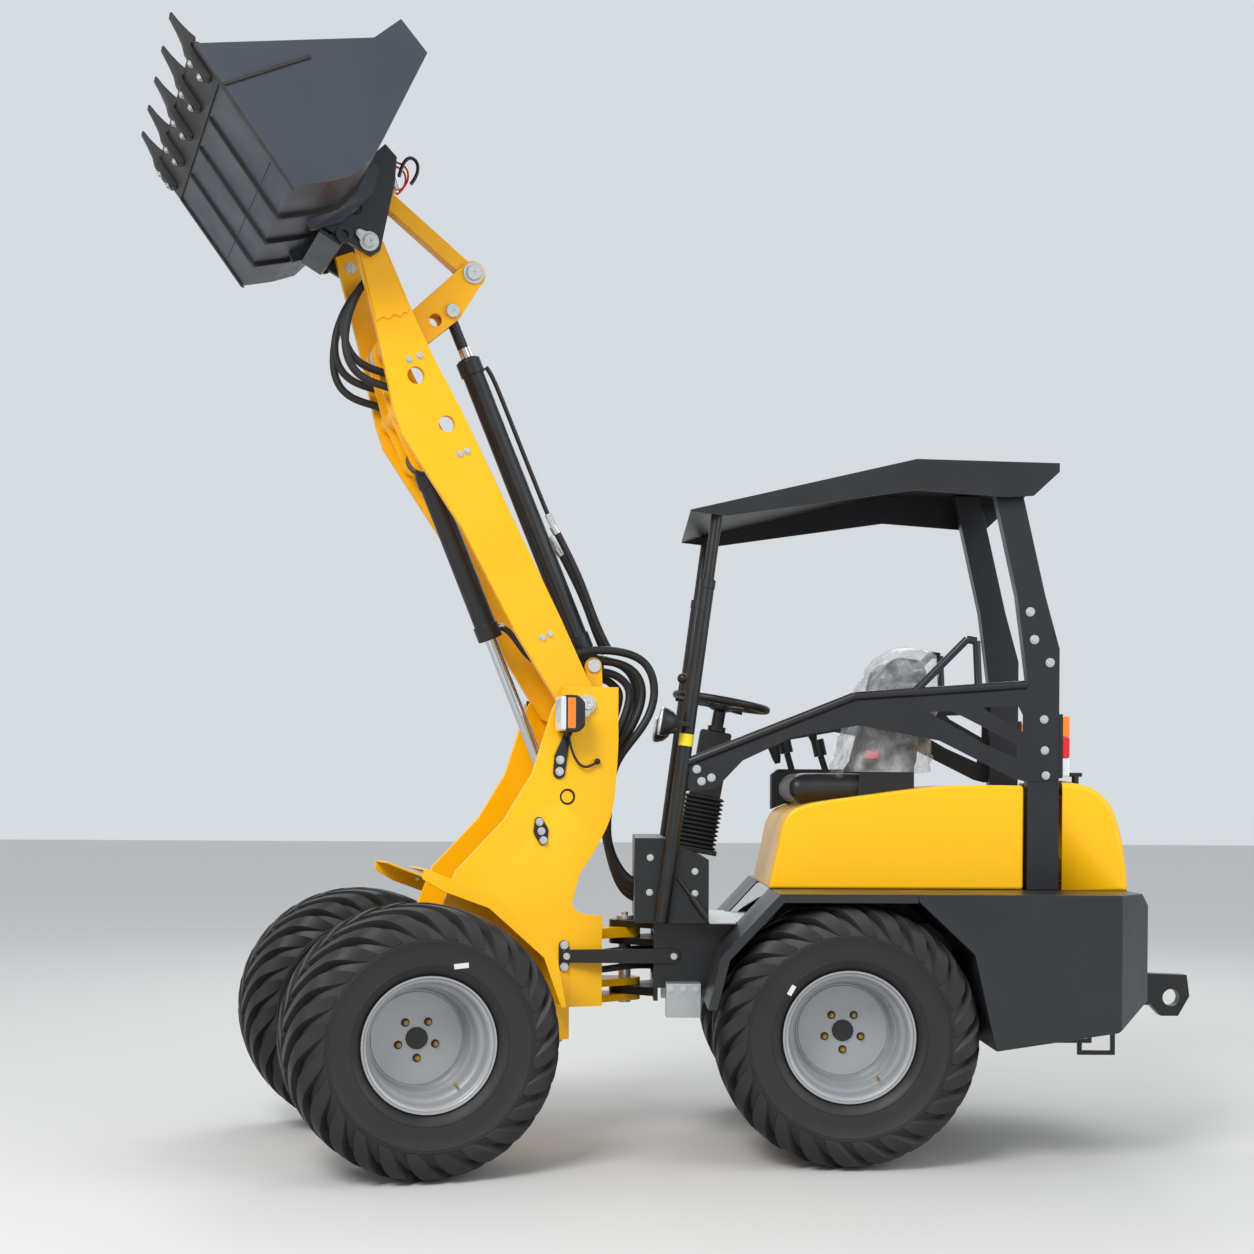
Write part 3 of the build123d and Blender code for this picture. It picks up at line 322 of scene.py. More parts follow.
def boltTree():
    # a hexagon head on a washer at each point, standing along the point's direction
    tree, given, result = newTree("bolts", (
        ("Radius", "NodeSocketFloat", 0.01), ("Head", "NodeSocketFloat", 0.008),
        ("Direction", "NodeSocketVector", (0, 1, 0)), ("Material", "NodeSocketMaterial", None)))
    dots = tree.nodes.new("GeometryNodeMeshToPoints")
    copies = tree.nodes.new("GeometryNodeInstanceOnPoints")
    align = tree.nodes.new("FunctionNodeAlignRotationToVector")
    align.axis = "Z"
    both = tree.nodes.new("GeometryNodeJoinGeometry")
    # washer, head and thread end: facets, share of the radius, foot and share of the head
    parts = (
        (20, 1.35, 0.0, 0.25), (6, 1.0, 0.25, 0.75), (20, 0.72, 1.0, 0.12))
    for facets, radiusShare, low, heightShare in parts:
        head = tree.nodes.new("GeometryNodeMeshCylinder")
        offset = tree.nodes.new("ShaderNodeCombineXYZ")
        place = tree.nodes.new("GeometryNodeTransform")
        feed(tree, head.inputs["Vertices"], facets)
        feed(tree, head.inputs["Radius"], calc(tree, "MULTIPLY", given.outputs["Radius"], radiusShare))
        feed(tree, head.inputs["Depth"], calc(tree, "MULTIPLY", given.outputs["Head"], heightShare))
        feed(tree, offset.inputs["Z"], calc(tree, "MULTIPLY", given.outputs["Head"], low + heightShare / 2))
        feed(tree, place.inputs["Geometry"], head.outputs[0])
        feed(tree, place.inputs["Translation"], offset.outputs[0])
        feed(tree, both.inputs[0], place.outputs[0])
    feed(tree, dots.inputs["Mesh"], given.outputs["Geometry"])
    feed(tree, align.inputs["Vector"], given.outputs["Direction"])
    feed(tree, copies.inputs["Points"], dots.outputs[0])
    feed(tree, copies.inputs["Instance"], both.outputs[0])
    feed(tree, copies.inputs["Rotation"], align.outputs[0])
    finishTree(tree, given, result, copies.outputs[0])
    return tree


def grown(tree, mesh, values):
    # the mesh that a tree makes of the given one
    maker = linked("maker", mesh)
    modifier = maker.modifiers.new("grow", "NODES")
    modifier.node_group = tree
    for item in tree.interface.items_tree:
        if item.in_out == "INPUT" and item.name in values:
            modifier[item.identifier] = values[item.name]
    maker.update_tag()
    result = evaluated(maker)
    bpy.data.objects.remove(maker)
    return result


repeatRound = roundTree()
repeatRow = rowTree()
boltHeads = boltTree()


def turnedMesh(mesh, place):
    mesh.transform(place)
    if place.determinant() < 0:
        mesh.flip_normals()
    return mesh


def bolts(name, points, side, place, material, body, radius=0.009, head=0.009):
    # bolt heads at points, their heads towards side
    mesh = bpy.data.meshes.new(name)
    mesh.from_pydata([Vector(p) for p in points], [], [])
    made = grown(boltHeads, mesh, {"Radius": radius, "Head": head, "Direction": side, "Material": material})
    return finished(name, turnedMesh(made, place), None, body, 0.0, 30)


def hose(name, points, radius, place, material, body, sides=12):
    # a flexible line on a smooth curve through its control points, made a mesh
    curve = bpy.data.curves.new(name, "CURVE")
    curve.dimensions = "3D"
    curve.bevel_depth = radius
    curve.bevel_resolution = max(1, sides // 4)
    curve.use_fill_caps = True
    spline = curve.splines.new("NURBS")
    spline.points.add(len(points) - 1)
    for point, where in zip(spline.points, points):
        point.co = (*where, 1)
    spline.order_u = 4
    spline.resolution_u = 8
    spline.use_endpoint_u = True
    maker = linked("maker", curve)
    mesh = evaluated(maker)
    bpy.data.objects.remove(maker)
    return finished(name, turnedMesh(mesh, place), material, body, 0.0, 60)


# shared surface effects
def clouds(tree, vector, scale, detail):
    node = tree.nodes.new("ShaderNodeTexNoise")
    for label, value in (("Vector", vector), ("Scale", scale), ("Detail", detail)):
        feed(tree, node.inputs[label], value)
    return node.outputs[0]


def ranged(tree, value, fromLow, fromHigh, low=0.0, high=1.0):
    node = tree.nodes.new("ShaderNodeMapRange")
    for label, setting in (
            ("Value", value), ("From Min", fromLow), ("From Max", fromHigh),
            ("To Min", low), ("To Max", high)):
        feed(tree, node.inputs[label], setting)
    return node.outputs[0]


def mixed(tree, amount, first, second):
    # input 0 is the share, 6 and 7 the colours, output 2 the mixed colour
    node = tree.nodes.new("ShaderNodeMix")
    node.data_type = "RGBA"
    for index, value in ((0, amount), (6, first), (7, second)):
        feed(tree, node.inputs[index], value)
    return node.outputs[2]


def mottleGroup():
    # a value that wanders between Low and High
    group, given, result = newGroup("mottle", "ShaderNodeTree", (
        ("Vector", "NodeSocketVector", None), ("Scale", "NodeSocketFloat", 6.0),
        ("Low", "NodeSocketFloat", 0.3), ("High", "NodeSocketFloat", 0.5)), (("Value", "NodeSocketFloat"),))
    cloudy = clouds(group, given.outputs["Vector"], given.outputs["Scale"], 4)
    value = ranged(group, cloudy, 0.35, 0.65, given.outputs["Low"], given.outputs["High"])
    feed(group, result.inputs["Value"], value)
    return group


def grainGroup():
    # fine unevenness for Normal
    group, given, result = newGroup("grain", "ShaderNodeTree", (
        ("Vector", "NodeSocketVector", None), ("Scale", "NodeSocketFloat", 400.0),
        ("Strength", "NodeSocketFloat", 0.1)), (("Normal", "NodeSocketVector"),))
    bump = group.nodes.new("ShaderNodeBump")
    feed(group, bump.inputs["Distance"], 0.0006)
    feed(group, bump.inputs["Strength"], given.outputs["Strength"])
    feed(group, bump.inputs["Height"], clouds(group, given.outputs["Vector"], given.outputs["Scale"], 2))
    feed(group, result.inputs["Normal"], bump.outputs[0])
    return group


def colourGroup(name, second, scale, extra=()):
    # a group that mixes a second colour into the first
    return newGroup(name, "ShaderNodeTree", (
        ("Vector", "NodeSocketVector", None), ("Color", "NodeSocketColor", (0.5, 0.5, 0.5, 1)),
        (second[0], "NodeSocketColor", second[1]), ("Amount", "NodeSocketFloat", 0.3),
        ("Scale", "NodeSocketFloat", scale)), (("Color", "NodeSocketColor"), *extra))


def dustGroup():
    # dust on faces that look up, broken up by noise
    group, given, result = colourGroup(
        "dust", ("Dust Color", (0.42, 0.38, 0.33, 1)), 5.0, (("Mask", "NodeSocketFloat"),))
    part = group.nodes.new("ShaderNodeSeparateXYZ")
    feed(group, part.inputs[0], group.nodes.new("ShaderNodeNewGeometry").outputs["Normal"])
    upward = ranged(group, part.outputs["Z"], -0.2, 1.0)
    spread = ranged(group, clouds(group, given.outputs["Vector"], given.outputs["Scale"], 6), 0.42, 0.72)
    amount = calc(group, "MULTIPLY", calc(group, "MULTIPLY", upward, spread), given.outputs["Amount"])
    colours = (given.outputs["Color"], given.outputs["Dust Color"])
    feed(group, result.inputs["Color"], mixed(group, amount, *colours))
    feed(group, result.inputs["Mask"], amount)
    return group


def wearGroup():
    # bare or lighter colour on the outer edges
    group, given, result = colourGroup("edgeWear", ("Edge Color", (0.6, 0.6, 0.6, 1)), 20.0)
    soft = group.nodes.new("ShaderNodeBevel")
    soft.samples = 4
    feed(group, soft.inputs["Radius"], 0.004)
    dot = group.nodes.new("ShaderNodeVectorMath")
    dot.operation = "DOT_PRODUCT"
    feed(group, dot.inputs[0], soft.outputs[0])
    feed(group, dot.inputs[1], group.nodes.new("ShaderNodeNewGeometry").outputs["Normal"])
    edge = ranged(group, dot.outputs["Value"], 0.985, 0.90)
    spread = ranged(group, clouds(group, given.outputs["Vector"], given.outputs["Scale"], 2), 0.45, 0.6)
    amount = calc(group, "MULTIPLY", calc(group, "MULTIPLY", edge, spread), given.outputs["Amount"])
    colours = (given.outputs["Color"], given.outputs["Edge Color"])
    feed(group, result.inputs["Color"], mixed(group, amount, *colours))
    return group


mottle = mottleGroup()
grain = grainGroup()
dust = dustGroup()
edgeWear = wearGroup()


def srgb(red, green, blue):
    def linear(c):
        c /= 255
        return c / 12.92 if c <= 0.04045 else ((c + 0.055) / 1.055) ** 2.4
    return (linear(red), linear(green), linear(blue), 1.0)


def effect(tree, group, place, values):
    # a shared effect in a material, with its own values
    node = tree.nodes.new("ShaderNodeGroup")
    node.node_tree = group
    feed(tree, node.inputs["Vector"], place)
    for label, value in values.items():
        feed(tree, node.inputs[label], value)
    return node


def newMaterial(name):
    material = bpy.data.materials.new(name)
    material.use_nodes = True
    tree = material.node_tree
    place = tree.nodes.new("ShaderNodeTexCoord").outputs["Object"]
    return material, tree, tree.nodes["Principled BSDF"], place


def surface(name, s):
    # a finish from its settings: color, rough (low, high), grain, dust, wear, and plain shader values
    material, tree, shader, place = newMaterial(name)
    color = s["color"]
    if "wear" in s:
        color = effect(tree, edgeWear, place, {
            "Color": color, "Edge Color": s["wearColor"], "Amount": s["wear"]}).outputs["Color"]
    if "dust" in s:
        color = effect(tree, dust, place, {
            "Color": color, "Amount": s["dust"], "Scale": s.get("dustScale", 5.0)}).outputs["Color"]
    feed(tree, shader.inputs["Base Color"], color)
    low, high = s["rough"]
    rough = effect(tree, mottle, place, {"Scale": s.get("mottleScale", 6.0), "Low": low, "High": high})
    feed(tree, shader.inputs["Roughness"], rough.outputs["Value"])
    if "grain" in s:
        fine = effect(tree, grain, place, {"Scale": s.get("grainScale", 400.0), "Strength": s["grain"]})
        feed(tree, shader.inputs["Normal"], fine.outputs["Normal"])
    for label, value in s.get("plain", {}).items():
        feed(tree, shader.inputs[label], value)
    return material


yellowPaint = surface("yellow_paint_look", {
    "color": srgb(255, 190, 0), "rough": (0.30, 0.38), "grain": 0.04, "grainScale": 160.0,
    "dust": 0.03, "plain": {"Coat Weight": 0.10, "Coat Roughness": 0.12, "Specular IOR Level": 0.35}})
boomPaint = surface("boom_paint_look", {
    "color": srgb(250, 180, 2), "rough": (0.34, 0.44), "grain": 0.05, "grainScale": 160.0,
    "wear": 0.35, "wearColor": srgb(90, 60, 20), "dust": 0.04,
    "plain": {"Coat Weight": 0.08, "Coat Roughness": 0.2, "Specular IOR Level": 0.35}})
greyPaint = surface("anthracite_paint_look", {
    "color": srgb(27, 30, 36), "rough": (0.34, 0.44), "grain": 0.06, "dust": 0.05,
    "plain": {"Coat Weight": 0.1}})
postPaint = surface("post_paint_look", {
    "color": srgb(24, 26, 30), "rough": (0.32, 0.42), "grain": 0.05, "dust": 0.05})
bucketPaint = surface("bucket_paint_look", {
    "color": srgb(50, 54, 64), "rough": (0.36, 0.46), "grain": 0.05,
    "wear": 0.2, "wearColor": srgb(110, 112, 118), "dust": 0.03})
edgePaint = surface("cutting_edge_look", {
    "color": srgb(30, 29, 30), "rough": (0.42, 0.54), "grain": 0.1,
    "wear": 0.3, "wearColor": srgb(110, 108, 104), "dust": 0.05})
blackPaint = surface("black_paint_look", {
    "color": srgb(22, 23, 25), "rough": (0.3, 0.42), "grain": 0.05, "dust": 0.04})
tyreRubber = surface("tyre_rubber_look", {
    "color": srgb(25, 25, 26), "rough": (0.5, 0.64), "grain": 0.12, "grainScale": 500.0,
    "dust": 0.07, "dustScale": 7.0})
silverPaint = surface("rim_silver_look", {
    "color": srgb(168, 169, 172), "rough": (0.34, 0.42), "grain": 0.04, "dust": 0.08,
    "plain": {"Metallic": 0.35, "Coat Weight": 0.2}})
galvanised = surface("galvanised_look", {
    "color": srgb(188, 196, 196), "rough": (0.3, 0.5), "mottleScale": 60.0, "plain": {"Metallic": 0.75}})
chromeSteel = surface("chrome_look", {
    "color": srgb(205, 206, 208), "rough": (0.07, 0.14), "plain": {"Metallic": 1.0}})
zincBolt = surface("zinc_bolt_look", {
    "color": srgb(205, 208, 206), "rough": (0.25, 0.36), "mottleScale": 90.0, "plain": {"Metallic": 0.7}})
goldBolt = surface("gold_bolt_look", {
    "color": srgb(176, 142, 66), "rough": (0.26, 0.4), "mottleScale": 120.0, "plain": {"Metallic": 0.85}})
darkWasher = surface("dark_washer_look", {
    "color": srgb(50, 46, 42), "rough": (0.4, 0.5), "plain": {"Metallic": 0.5}})
hoseRubber = surface("hose_rubber_look", {
    "color": srgb(24, 24, 25), "rough": (0.5, 0.64), "grain": 0.35, "grainScale": 260.0, "dust": 0.06})
blackPlastic = surface("black_plastic_look", {"color": srgb(22, 22, 24), "rough": (0.36, 0.5), "grain": 0.15})
leather = surface("seat_leather_look", {
    "color": srgb(30, 30, 32), "rough": (0.34, 0.48), "mottleScale": 14.0, "grain": 0.4, "grainScale": 300.0})
redPlastic = surface("red_plastic_look", {"color": srgb(214, 24, 28), "rough": (0.3, 0.4)})
amberLens = surface("amber_lens_look", {
    "color": srgb(255, 128, 20), "rough": (0.12, 0.2), "plain": {"Coat Weight": 0.6, "Coat Roughness": 0.05}})
clearLens = surface("clear_lens_look", {
    "color": srgb(225, 230, 232), "rough": (0.08, 0.16), "mottleScale": 80.0,
    "plain": {"Metallic": 0.3, "Coat Weight": 0.8, "Coat Roughness": 0.03}})
yellowTape = surface("yellow_tape_look", {"color": srgb(236, 214, 40), "rough": (0.4, 0.5)})
blankLabel = surface("blank_label_look", {"color": srgb(214, 214, 208), "rough": (0.45, 0.55)})
brass = surface("brass_look", {
    "color": srgb(178, 140, 62), "rough": (0.25, 0.35), "plain": {"Metallic": 0.9}})
castGrey = surface("cast_grey_look", {
    "color": srgb(70, 73, 78), "rough": (0.55, 0.7), "grain": 0.3, "dust": 0.1})


def filmMaterial():
    # thin clear wrapping film: its folds are whiter than its flats
    material, tree, shader, place = newMaterial("clear_film_look")
    cloudy = effect(tree, mottle, place, {"Scale": 16.0, "Low": 0.10, "High": 0.42})
    creased = effect(tree, grain, place, {"Scale": 24.0, "Strength": 1.0})
    feed(tree, shader.inputs["Alpha"], cloudy.outputs["Value"])
    feed(tree, shader.inputs["Normal"], creased.outputs["Normal"])
    feed(tree, shader.inputs["Base Color"], srgb(225, 228, 230))
    feed(tree, shader.inputs["Roughness"], 0.18)
    return material


clearFilm = filmMaterial()
print("finishes made:", len(bpy.data.materials))


# wheels
wheel = {
    "axleZ": 0.430, "halfTrack": 0.490, "frontX": 0.850, "rearX": -0.716, "lugs": 24, "sides": 120,
    "rimSides": 96, "lugStagger": 3.75, "lugFlare": (1.1, 0.7),     # degrees
    "carcass": (        # radius, y: from the middle of the tread down the side to the bead
        (0.398, 0.0), (0.398, 0.105), (0.395, 0.138), (0.390, 0.158), (0.382, 0.170), (0.372, 0.178),
        (0.358, 0.186), (0.345, 0.192), (0.333, 0.1965), (0.3285, 0.1975), (0.3280, 0.1992), (0.3255, 0.1992),
        (0.3250, 0.1975), (0.3215, 0.1972), (0.3210, 0.1984), (0.3190, 0.1984), (0.3185, 0.1965),
        (0.302, 0.1915), (0.282, 0.1885), (0.262, 0.1880), (0.2505, 0.1865), (0.2500, 0.1880),
        (0.2475, 0.1880),
        (0.2470, 0.1855), (0.238, 0.1820), (0.228, 0.1745), (0.220, 0.1650), (0.216, 0.1600), (0.200, 0.1570),
    ),
    "lug": (            # y and radius of its top, y and radius of its foot, sweep and half width in degrees
        (0.0030, 0.4300, 0.0030, 0.397, 33.5, 2.6), (0.0350, 0.4296, 0.0350, 0.397, 29.9, 2.7),
        (0.0700, 0.4288, 0.0700, 0.396, 25.8, 2.9), (0.1050, 0.4272, 0.1050, 0.395, 21.5, 3.1),
        (0.1400, 0.4235, 0.1380, 0.393, 17.3, 3.4), (0.1630, 0.4175, 0.1580, 0.388, 13.8, 3.7),
        (0.1790, 0.4090, 0.1680, 0.380, 11.0, 4.0), (0.1900, 0.3950, 0.1760, 0.370, 8.3, 4.2),
        (0.1962, 0.3770, 0.1830, 0.358, 5.8, 4.2), (0.1990, 0.3590, 0.1890, 0.347, 3.5, 4.0),
        (0.1996, 0.3440, 0.1930, 0.337, 1.6, 3.6), (0.1990, 0.3330, 0.1955, 0.330, 0.4, 3.0),
    ),
    "rim": (            # radius, y: round the rim's whole section
        (0.2140, 0.168), (0.2125, 0.170), (0.2085, 0.170), (0.2060, 0.167), (0.2040, 0.160), (0.1990, 0.156),
        (0.1930, 0.151), (0.1905, 0.144), (0.1895, 0.120), (0.1880, 0.112), (0.1820, 0.105), (0.1740, 0.098),
        (0.1715, 0.090), (0.1710, 0.060), (0.1720, 0.045), (0.1690, 0.036), (0.1640, 0.030), (0.1625, 0.010),
        (0.1600, -0.006), (0.1560, -0.015), (0.1530, -0.024), (0.1490, -0.024), (0.1470, -0.020),
        (0.0350, -0.020), (0.0350, -0.032), (0.1500, -0.032), (0.1640, -0.040), (0.1700, -0.060),
        (0.1710, -0.090), (0.1820, -0.105), (0.1890, -0.120), (0.1905, -0.150), (0.2040, -0.160),
        (0.2085, -0.170), (0.2125, -0.170), (0.2140, -0.168), (0.2120, -0.162), (0.1970, -0.157),
        (0.1970, 0.157), (0.2120, 0.162),
    ),
    "nuts": 5, "nutCircle": 0.0625, "nut": ((0.0095, 0), (0.0095, 0.009), (0.008, 0.011)), "nutY": -0.017,
    "washer": (-0.020, 0.0135, 0.003), "stud": (-0.007, 0.0052, 0.006),     # y, radius, height
    "valve": (0.172, 0.080, 216),           # radius, y, degrees
    "valveStem": (0.95, 0.115, 0.0035),     # lean towards the middle, y, thickness
    "valveCap": (0.95, 0.112, 0.94, 0.122, 0.005),
    "labels": {"front": (0.262, -21, 0.046, 0.016, 5), "rear": (0.243, 51, 0.034, 0.015, 60)},
    "labelY": 0.1885,       # a label: radius, degrees round the tyre, width, height, tilt
}


def wheelPoint(radius, y, degrees):
    a = math.radians(degrees)
    return (radius * math.sin(a), y, radius * math.cos(a))


def lugShape(side, middle):
    # one bar of the tread, from the middle down the shoulder, leading edge first
    points = []
    faces = []
    before, after = wheel["lugFlare"]
    for yTop, rTop, yFoot, rFoot, sweep, half in wheel["lug"]:
        centre = middle + sweep
        points += [
            wheelPoint(rFoot, side * yFoot, centre - half - before),
            wheelPoint(rTop, side * yTop, centre - half),
            wheelPoint(rTop, side * yTop, centre + half),
            wheelPoint(rFoot, side * yFoot, centre + half + after)]
    rows = len(wheel["lug"])
    for row in range(rows - 1):
        for k in range(4):
            a = row * 4 + k
            b = row * 4 + (k + 1) % 4
            faces.append([a, b, b + 4, a + 4])
    faces += [[0, 1, 2, 3], [(rows - 1) * 4 + k for k in (3, 2, 1, 0)]]
    return points, faces


def joinedMesh(name, meshes):
    bm = bmesh.new()
    for mesh in meshes:
        bm.from_mesh(mesh)
    result = bpy.data.meshes.new(name)
    bm.to_mesh(result)
    bm.free()
    return result


def tyreMesh():
    side = wheel["carcass"]
    profile = [(r, -y) for r, y in side[::-1]] + [(r, y) for r, y in side[1:]]
    carcass = meshOf("carcass", [lathe(profile, (0, 0, 0), (0, 1, 0), wheel["sides"], closed=True)])
    lugs = meshOf("lug", [lugShape(1, wheel["lugStagger"]), lugShape(-1, -wheel["lugStagger"])])
    ring = grown(repeatRound, lugs, {"Count": wheel["lugs"], "Material": tyreRubber})
    return joinedMesh("tyre", [carcass, ring])


def valveShapes():
    x, y, z = wheelPoint(*wheel["valve"][:2], wheel["valve"][2])
    lean, stemY, stemR = wheel["valveStem"]
    capLean, capY, endLean, endY, capR = wheel["valveCap"]
    return [
        rod((x, y, z), (x * lean, stemY, z * lean), stemR, 12),
        rod((x * capLean, capY, z * capLean), (x * endLean, endY, z * endLean), capR, 12)]


def wheelSet():
    w = wheel
    rubber = tyreMesh()
    rim = meshOf("rim", [lathe(w["rim"], (0, 0, 0), (0, 1, 0), w["rimSides"], closed=True)])
    low = -w["nutCircle"]
    washerY, *washerSize = w["washer"]
    studY, *studSize = w["stud"]
    washer = meshOf("washer", [disc(0, low, washerY, 1, *washerSize)])
    hexagon = lathe(w["nut"], (0, w["nutY"], low), (0, 1, 0), 6)
    nut = meshOf("nut", [hexagon, disc(0, low, studY, 1, *studSize)])
    washers = grown(repeatRound, washer, {"Count": w["nuts"], "Material": darkWasher})
    nuts = grown(repeatRound, nut, {"Count": w["nuts"], "Material": goldBolt})
    parts = (               # name, mesh, finish, bevel, the node it replaces
        ("tyre_shape", rubber, tyreRubber, 0.0022, "tyre"), ("rim_shape", rim, silverPaint, 0.0, "rim"),
        ("nut_washers", washers, darkWasher, 0.0, None), ("nuts", nuts, goldBolt, 0.0005, None),
        ("valve", meshOf("valve", valveShapes()), brass, 0.0, None))
    for end, place, x in (("front", frontPlace, w["frontX"]), ("rear", rearPlace, w["rearX"])):
        for tag, side in flanks:
            corner = f"{end}_{tag}"
            body = f"{corner}_wheel"
            here = place @ Matrix.Translation((x, side * w["halfTrack"], w["axleZ"]))
            here = here @ Matrix.Diagonal((1, side, 1, 1))
            for name, mesh, material, bevel, node in parts:
                made = finished(f"{corner}_{name}", turnedMesh(mesh.copy(), here), material, body, bevel, 32)
                if node is not None:
                    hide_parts(f"{corner}_{node}")
            if side > 0:
                radius, degrees, width, height, tilt = w["labels"][end]
                turn = Matrix.Translation(wheelPoint(radius, w["labelY"], degrees))
                turn = turn @ Matrix.Rotation(math.radians(tilt), 4, "Y")
                label = crate(-width / 2, width / 2, -0.001, 0.002, -height / 2, height / 2)
                piece(f"{corner}_tyre_label", [label], here @ turn, blankLabel, body)


wheelSet()
print("wheels made")


# front half
front = {
    "pivot": (0.205, 1.511), "tip": (0.958, 3.008), "rockerPivot": (0.865, 2.680),
    "rockerLink": (0.570, 2.978), "rockerRod": (0.643, 2.843), "tiltBase": (0.139, 1.651),
    "liftTop": (0.742, 2.342), "liftFoot": (0.270, 1.195), "towerOut": 0.190, "towerT": 0.020,
    "armOut": 0.165, "couplerOut": 0.190, "pinHeadT": 0.009, "keeperT": 0.006,
}
tower = {
    "pivotBolt": (0.212, 1.478), "fittingT": 0.008,
    "oval": ((0.365, 1.079, 0.026), (0.372, 1.112, 0.015), (0.358, 1.046, 0.015)),      # x, z, radius
    "ovalBolts": ((0.372, 1.110), (0.365, 1.079), (0.358, 1.048)),
    "lampArm": ((0.302, 1.277, 0.021), (0.298, 1.330, 0.021), (0.276, 1.400, 0.012)),   # x, z, radius
    "lampArmBolts": ((0.300, 1.320), (0.302, 1.281)),
    "lampStalk": ((0.276, 0.008, 1.400), (0.276, 0.040, 1.412)),                        # x, off the plate, z
    "cable": (                                                                          # x, off the plate, z
        (0.272, 0.016, 1.402), (0.266, 0.024, 1.350), (0.240, 0.020, 1.300), (0.205, 0.014, 1.290),
        (0.170, 0.012, 1.314)),
    "cableR": 0.0045, "cableEnd": (0.168, 1.316), "cableEndR": 0.0105,
    # the last value here is the thickness of the dark ring that paints the shade in the gap round the lift pin
    "footPinR": 0.0206, "footRecessR": 0.0276, "footRecess": 0.0079, "footShadeRingT": 0.0008,
    "notch": ((0.262, 0.868), (0.258, 0.838), (0.240, 0.812), (0.212, 0.797), (0.180, 0.792)),
    "cheekX": (0.145, 0.262), "cheekZ": (0.480, 0.788), "rodGap": (0.565, 0.680),
    "bow": ((0.091, 1.480), (0.0905, 1.356), (0.109, 1.154), (0.160, 1.034), (0.226, 0.932)),
    "bowInside": ((0.236, 0.945), (0.205, 1.154), (0.150, 1.356), (0.140, 1.480)), "bowSink": 0.0002,
    "guardEdge": ((0.812, 0.965), (0.743, 0.937), (0.573, 0.875), (0.369, 0.685), (0.334, 0.504)),
    "guardFoot": ((0.352, 0.500), (0.412, 0.668), (0.598, 0.833), (0.752, 0.890), (0.818, 0.930)),
    "guardY": 0.394, "guardT": 0.006,
    "guardBolts": ((0.690, 0.8985), (0.655, 0.888), (0.400, 0.690)), "guardBoltY": 0.250,
}


def hull(*discs):
    # side-view outline round a row of discs: (x, z, radius)
    points = []
    for x, z, r in discs:
        points += [Vector(p) for p in arcPoints((x, z), r, 0, 360, 24)[:-1]]
    points.sort(key=lambda p: (p.x, p.y))

    def half(order):
        chain = []
        for p in order:
            while len(chain) > 1 and (chain[-1] - chain[-2]).cross(p - chain[-1]) <= 1e-9:
                chain.pop()
            chain.append(p)
        return chain[:-1]
    return [(p.x, p.y) for p in half(points) + half(points[::-1])]


def pinEnd(x, z, y, side, radius):
    # a pin's end with its softened rim and centre drilling
    return lathe(((radius - 0.003, 0), (radius, 0.003), (radius, 0.009), (radius - 0.002, 0.011),
                  (0.006, 0.011), (0.004, 0.008)), (x, y, z), (0, side, 0), 28)


def lockPlate(x, z, face, side, towards):
    # a keeper plate over a pin's end, and the place of its bolt
    keeper = plate(hull((x, z, 0.024), (*towards, 0.013)), side, face, front["keeperT"])
    cap = pinEnd(x, z, side * (face + 0.004), side, 0.021)
    return [keeper, cap], (towards[0], side * (face + front["keeperT"]), towards[1])


def offTower(points, side):
    # points (x, distance off the tower's outer face, z) on one side
    return [(x, side * (front["towerOut"] + off), z) for x, off, z in points]


def cheeks(side):
    # the plate's foot out to the ears, and the bow of its rear edge
    t = tower
    inner = front["towerOut"] - front["towerT"]
    rear, fore = t["cheekX"]
    low, high = t["cheekZ"]
    notch = eased(t["notch"])
    if side > 0:
        outlines = [notch + [(rear, high), (rear, low), (fore, low)]]
    else:
        # the right one leaves room for the steering cylinder's rod
        gapLow, gapHigh = t["rodGap"]
        outlines = [notch + [(rear, high), (rear, gapHigh), (fore, gapHigh)],
                    [(fore, gapLow), (0.150, gapLow), (rear, low), (fore, low)]]
    bow = eased(t["bow"]) + list(t["bowInside"])
    sink = t["bowSink"]
    return [plate(outline, side, inner, front["towerT"]) for outline in outlines] + [
        plate(bow, side, inner + sink, front["towerT"] - 2 * sink)]


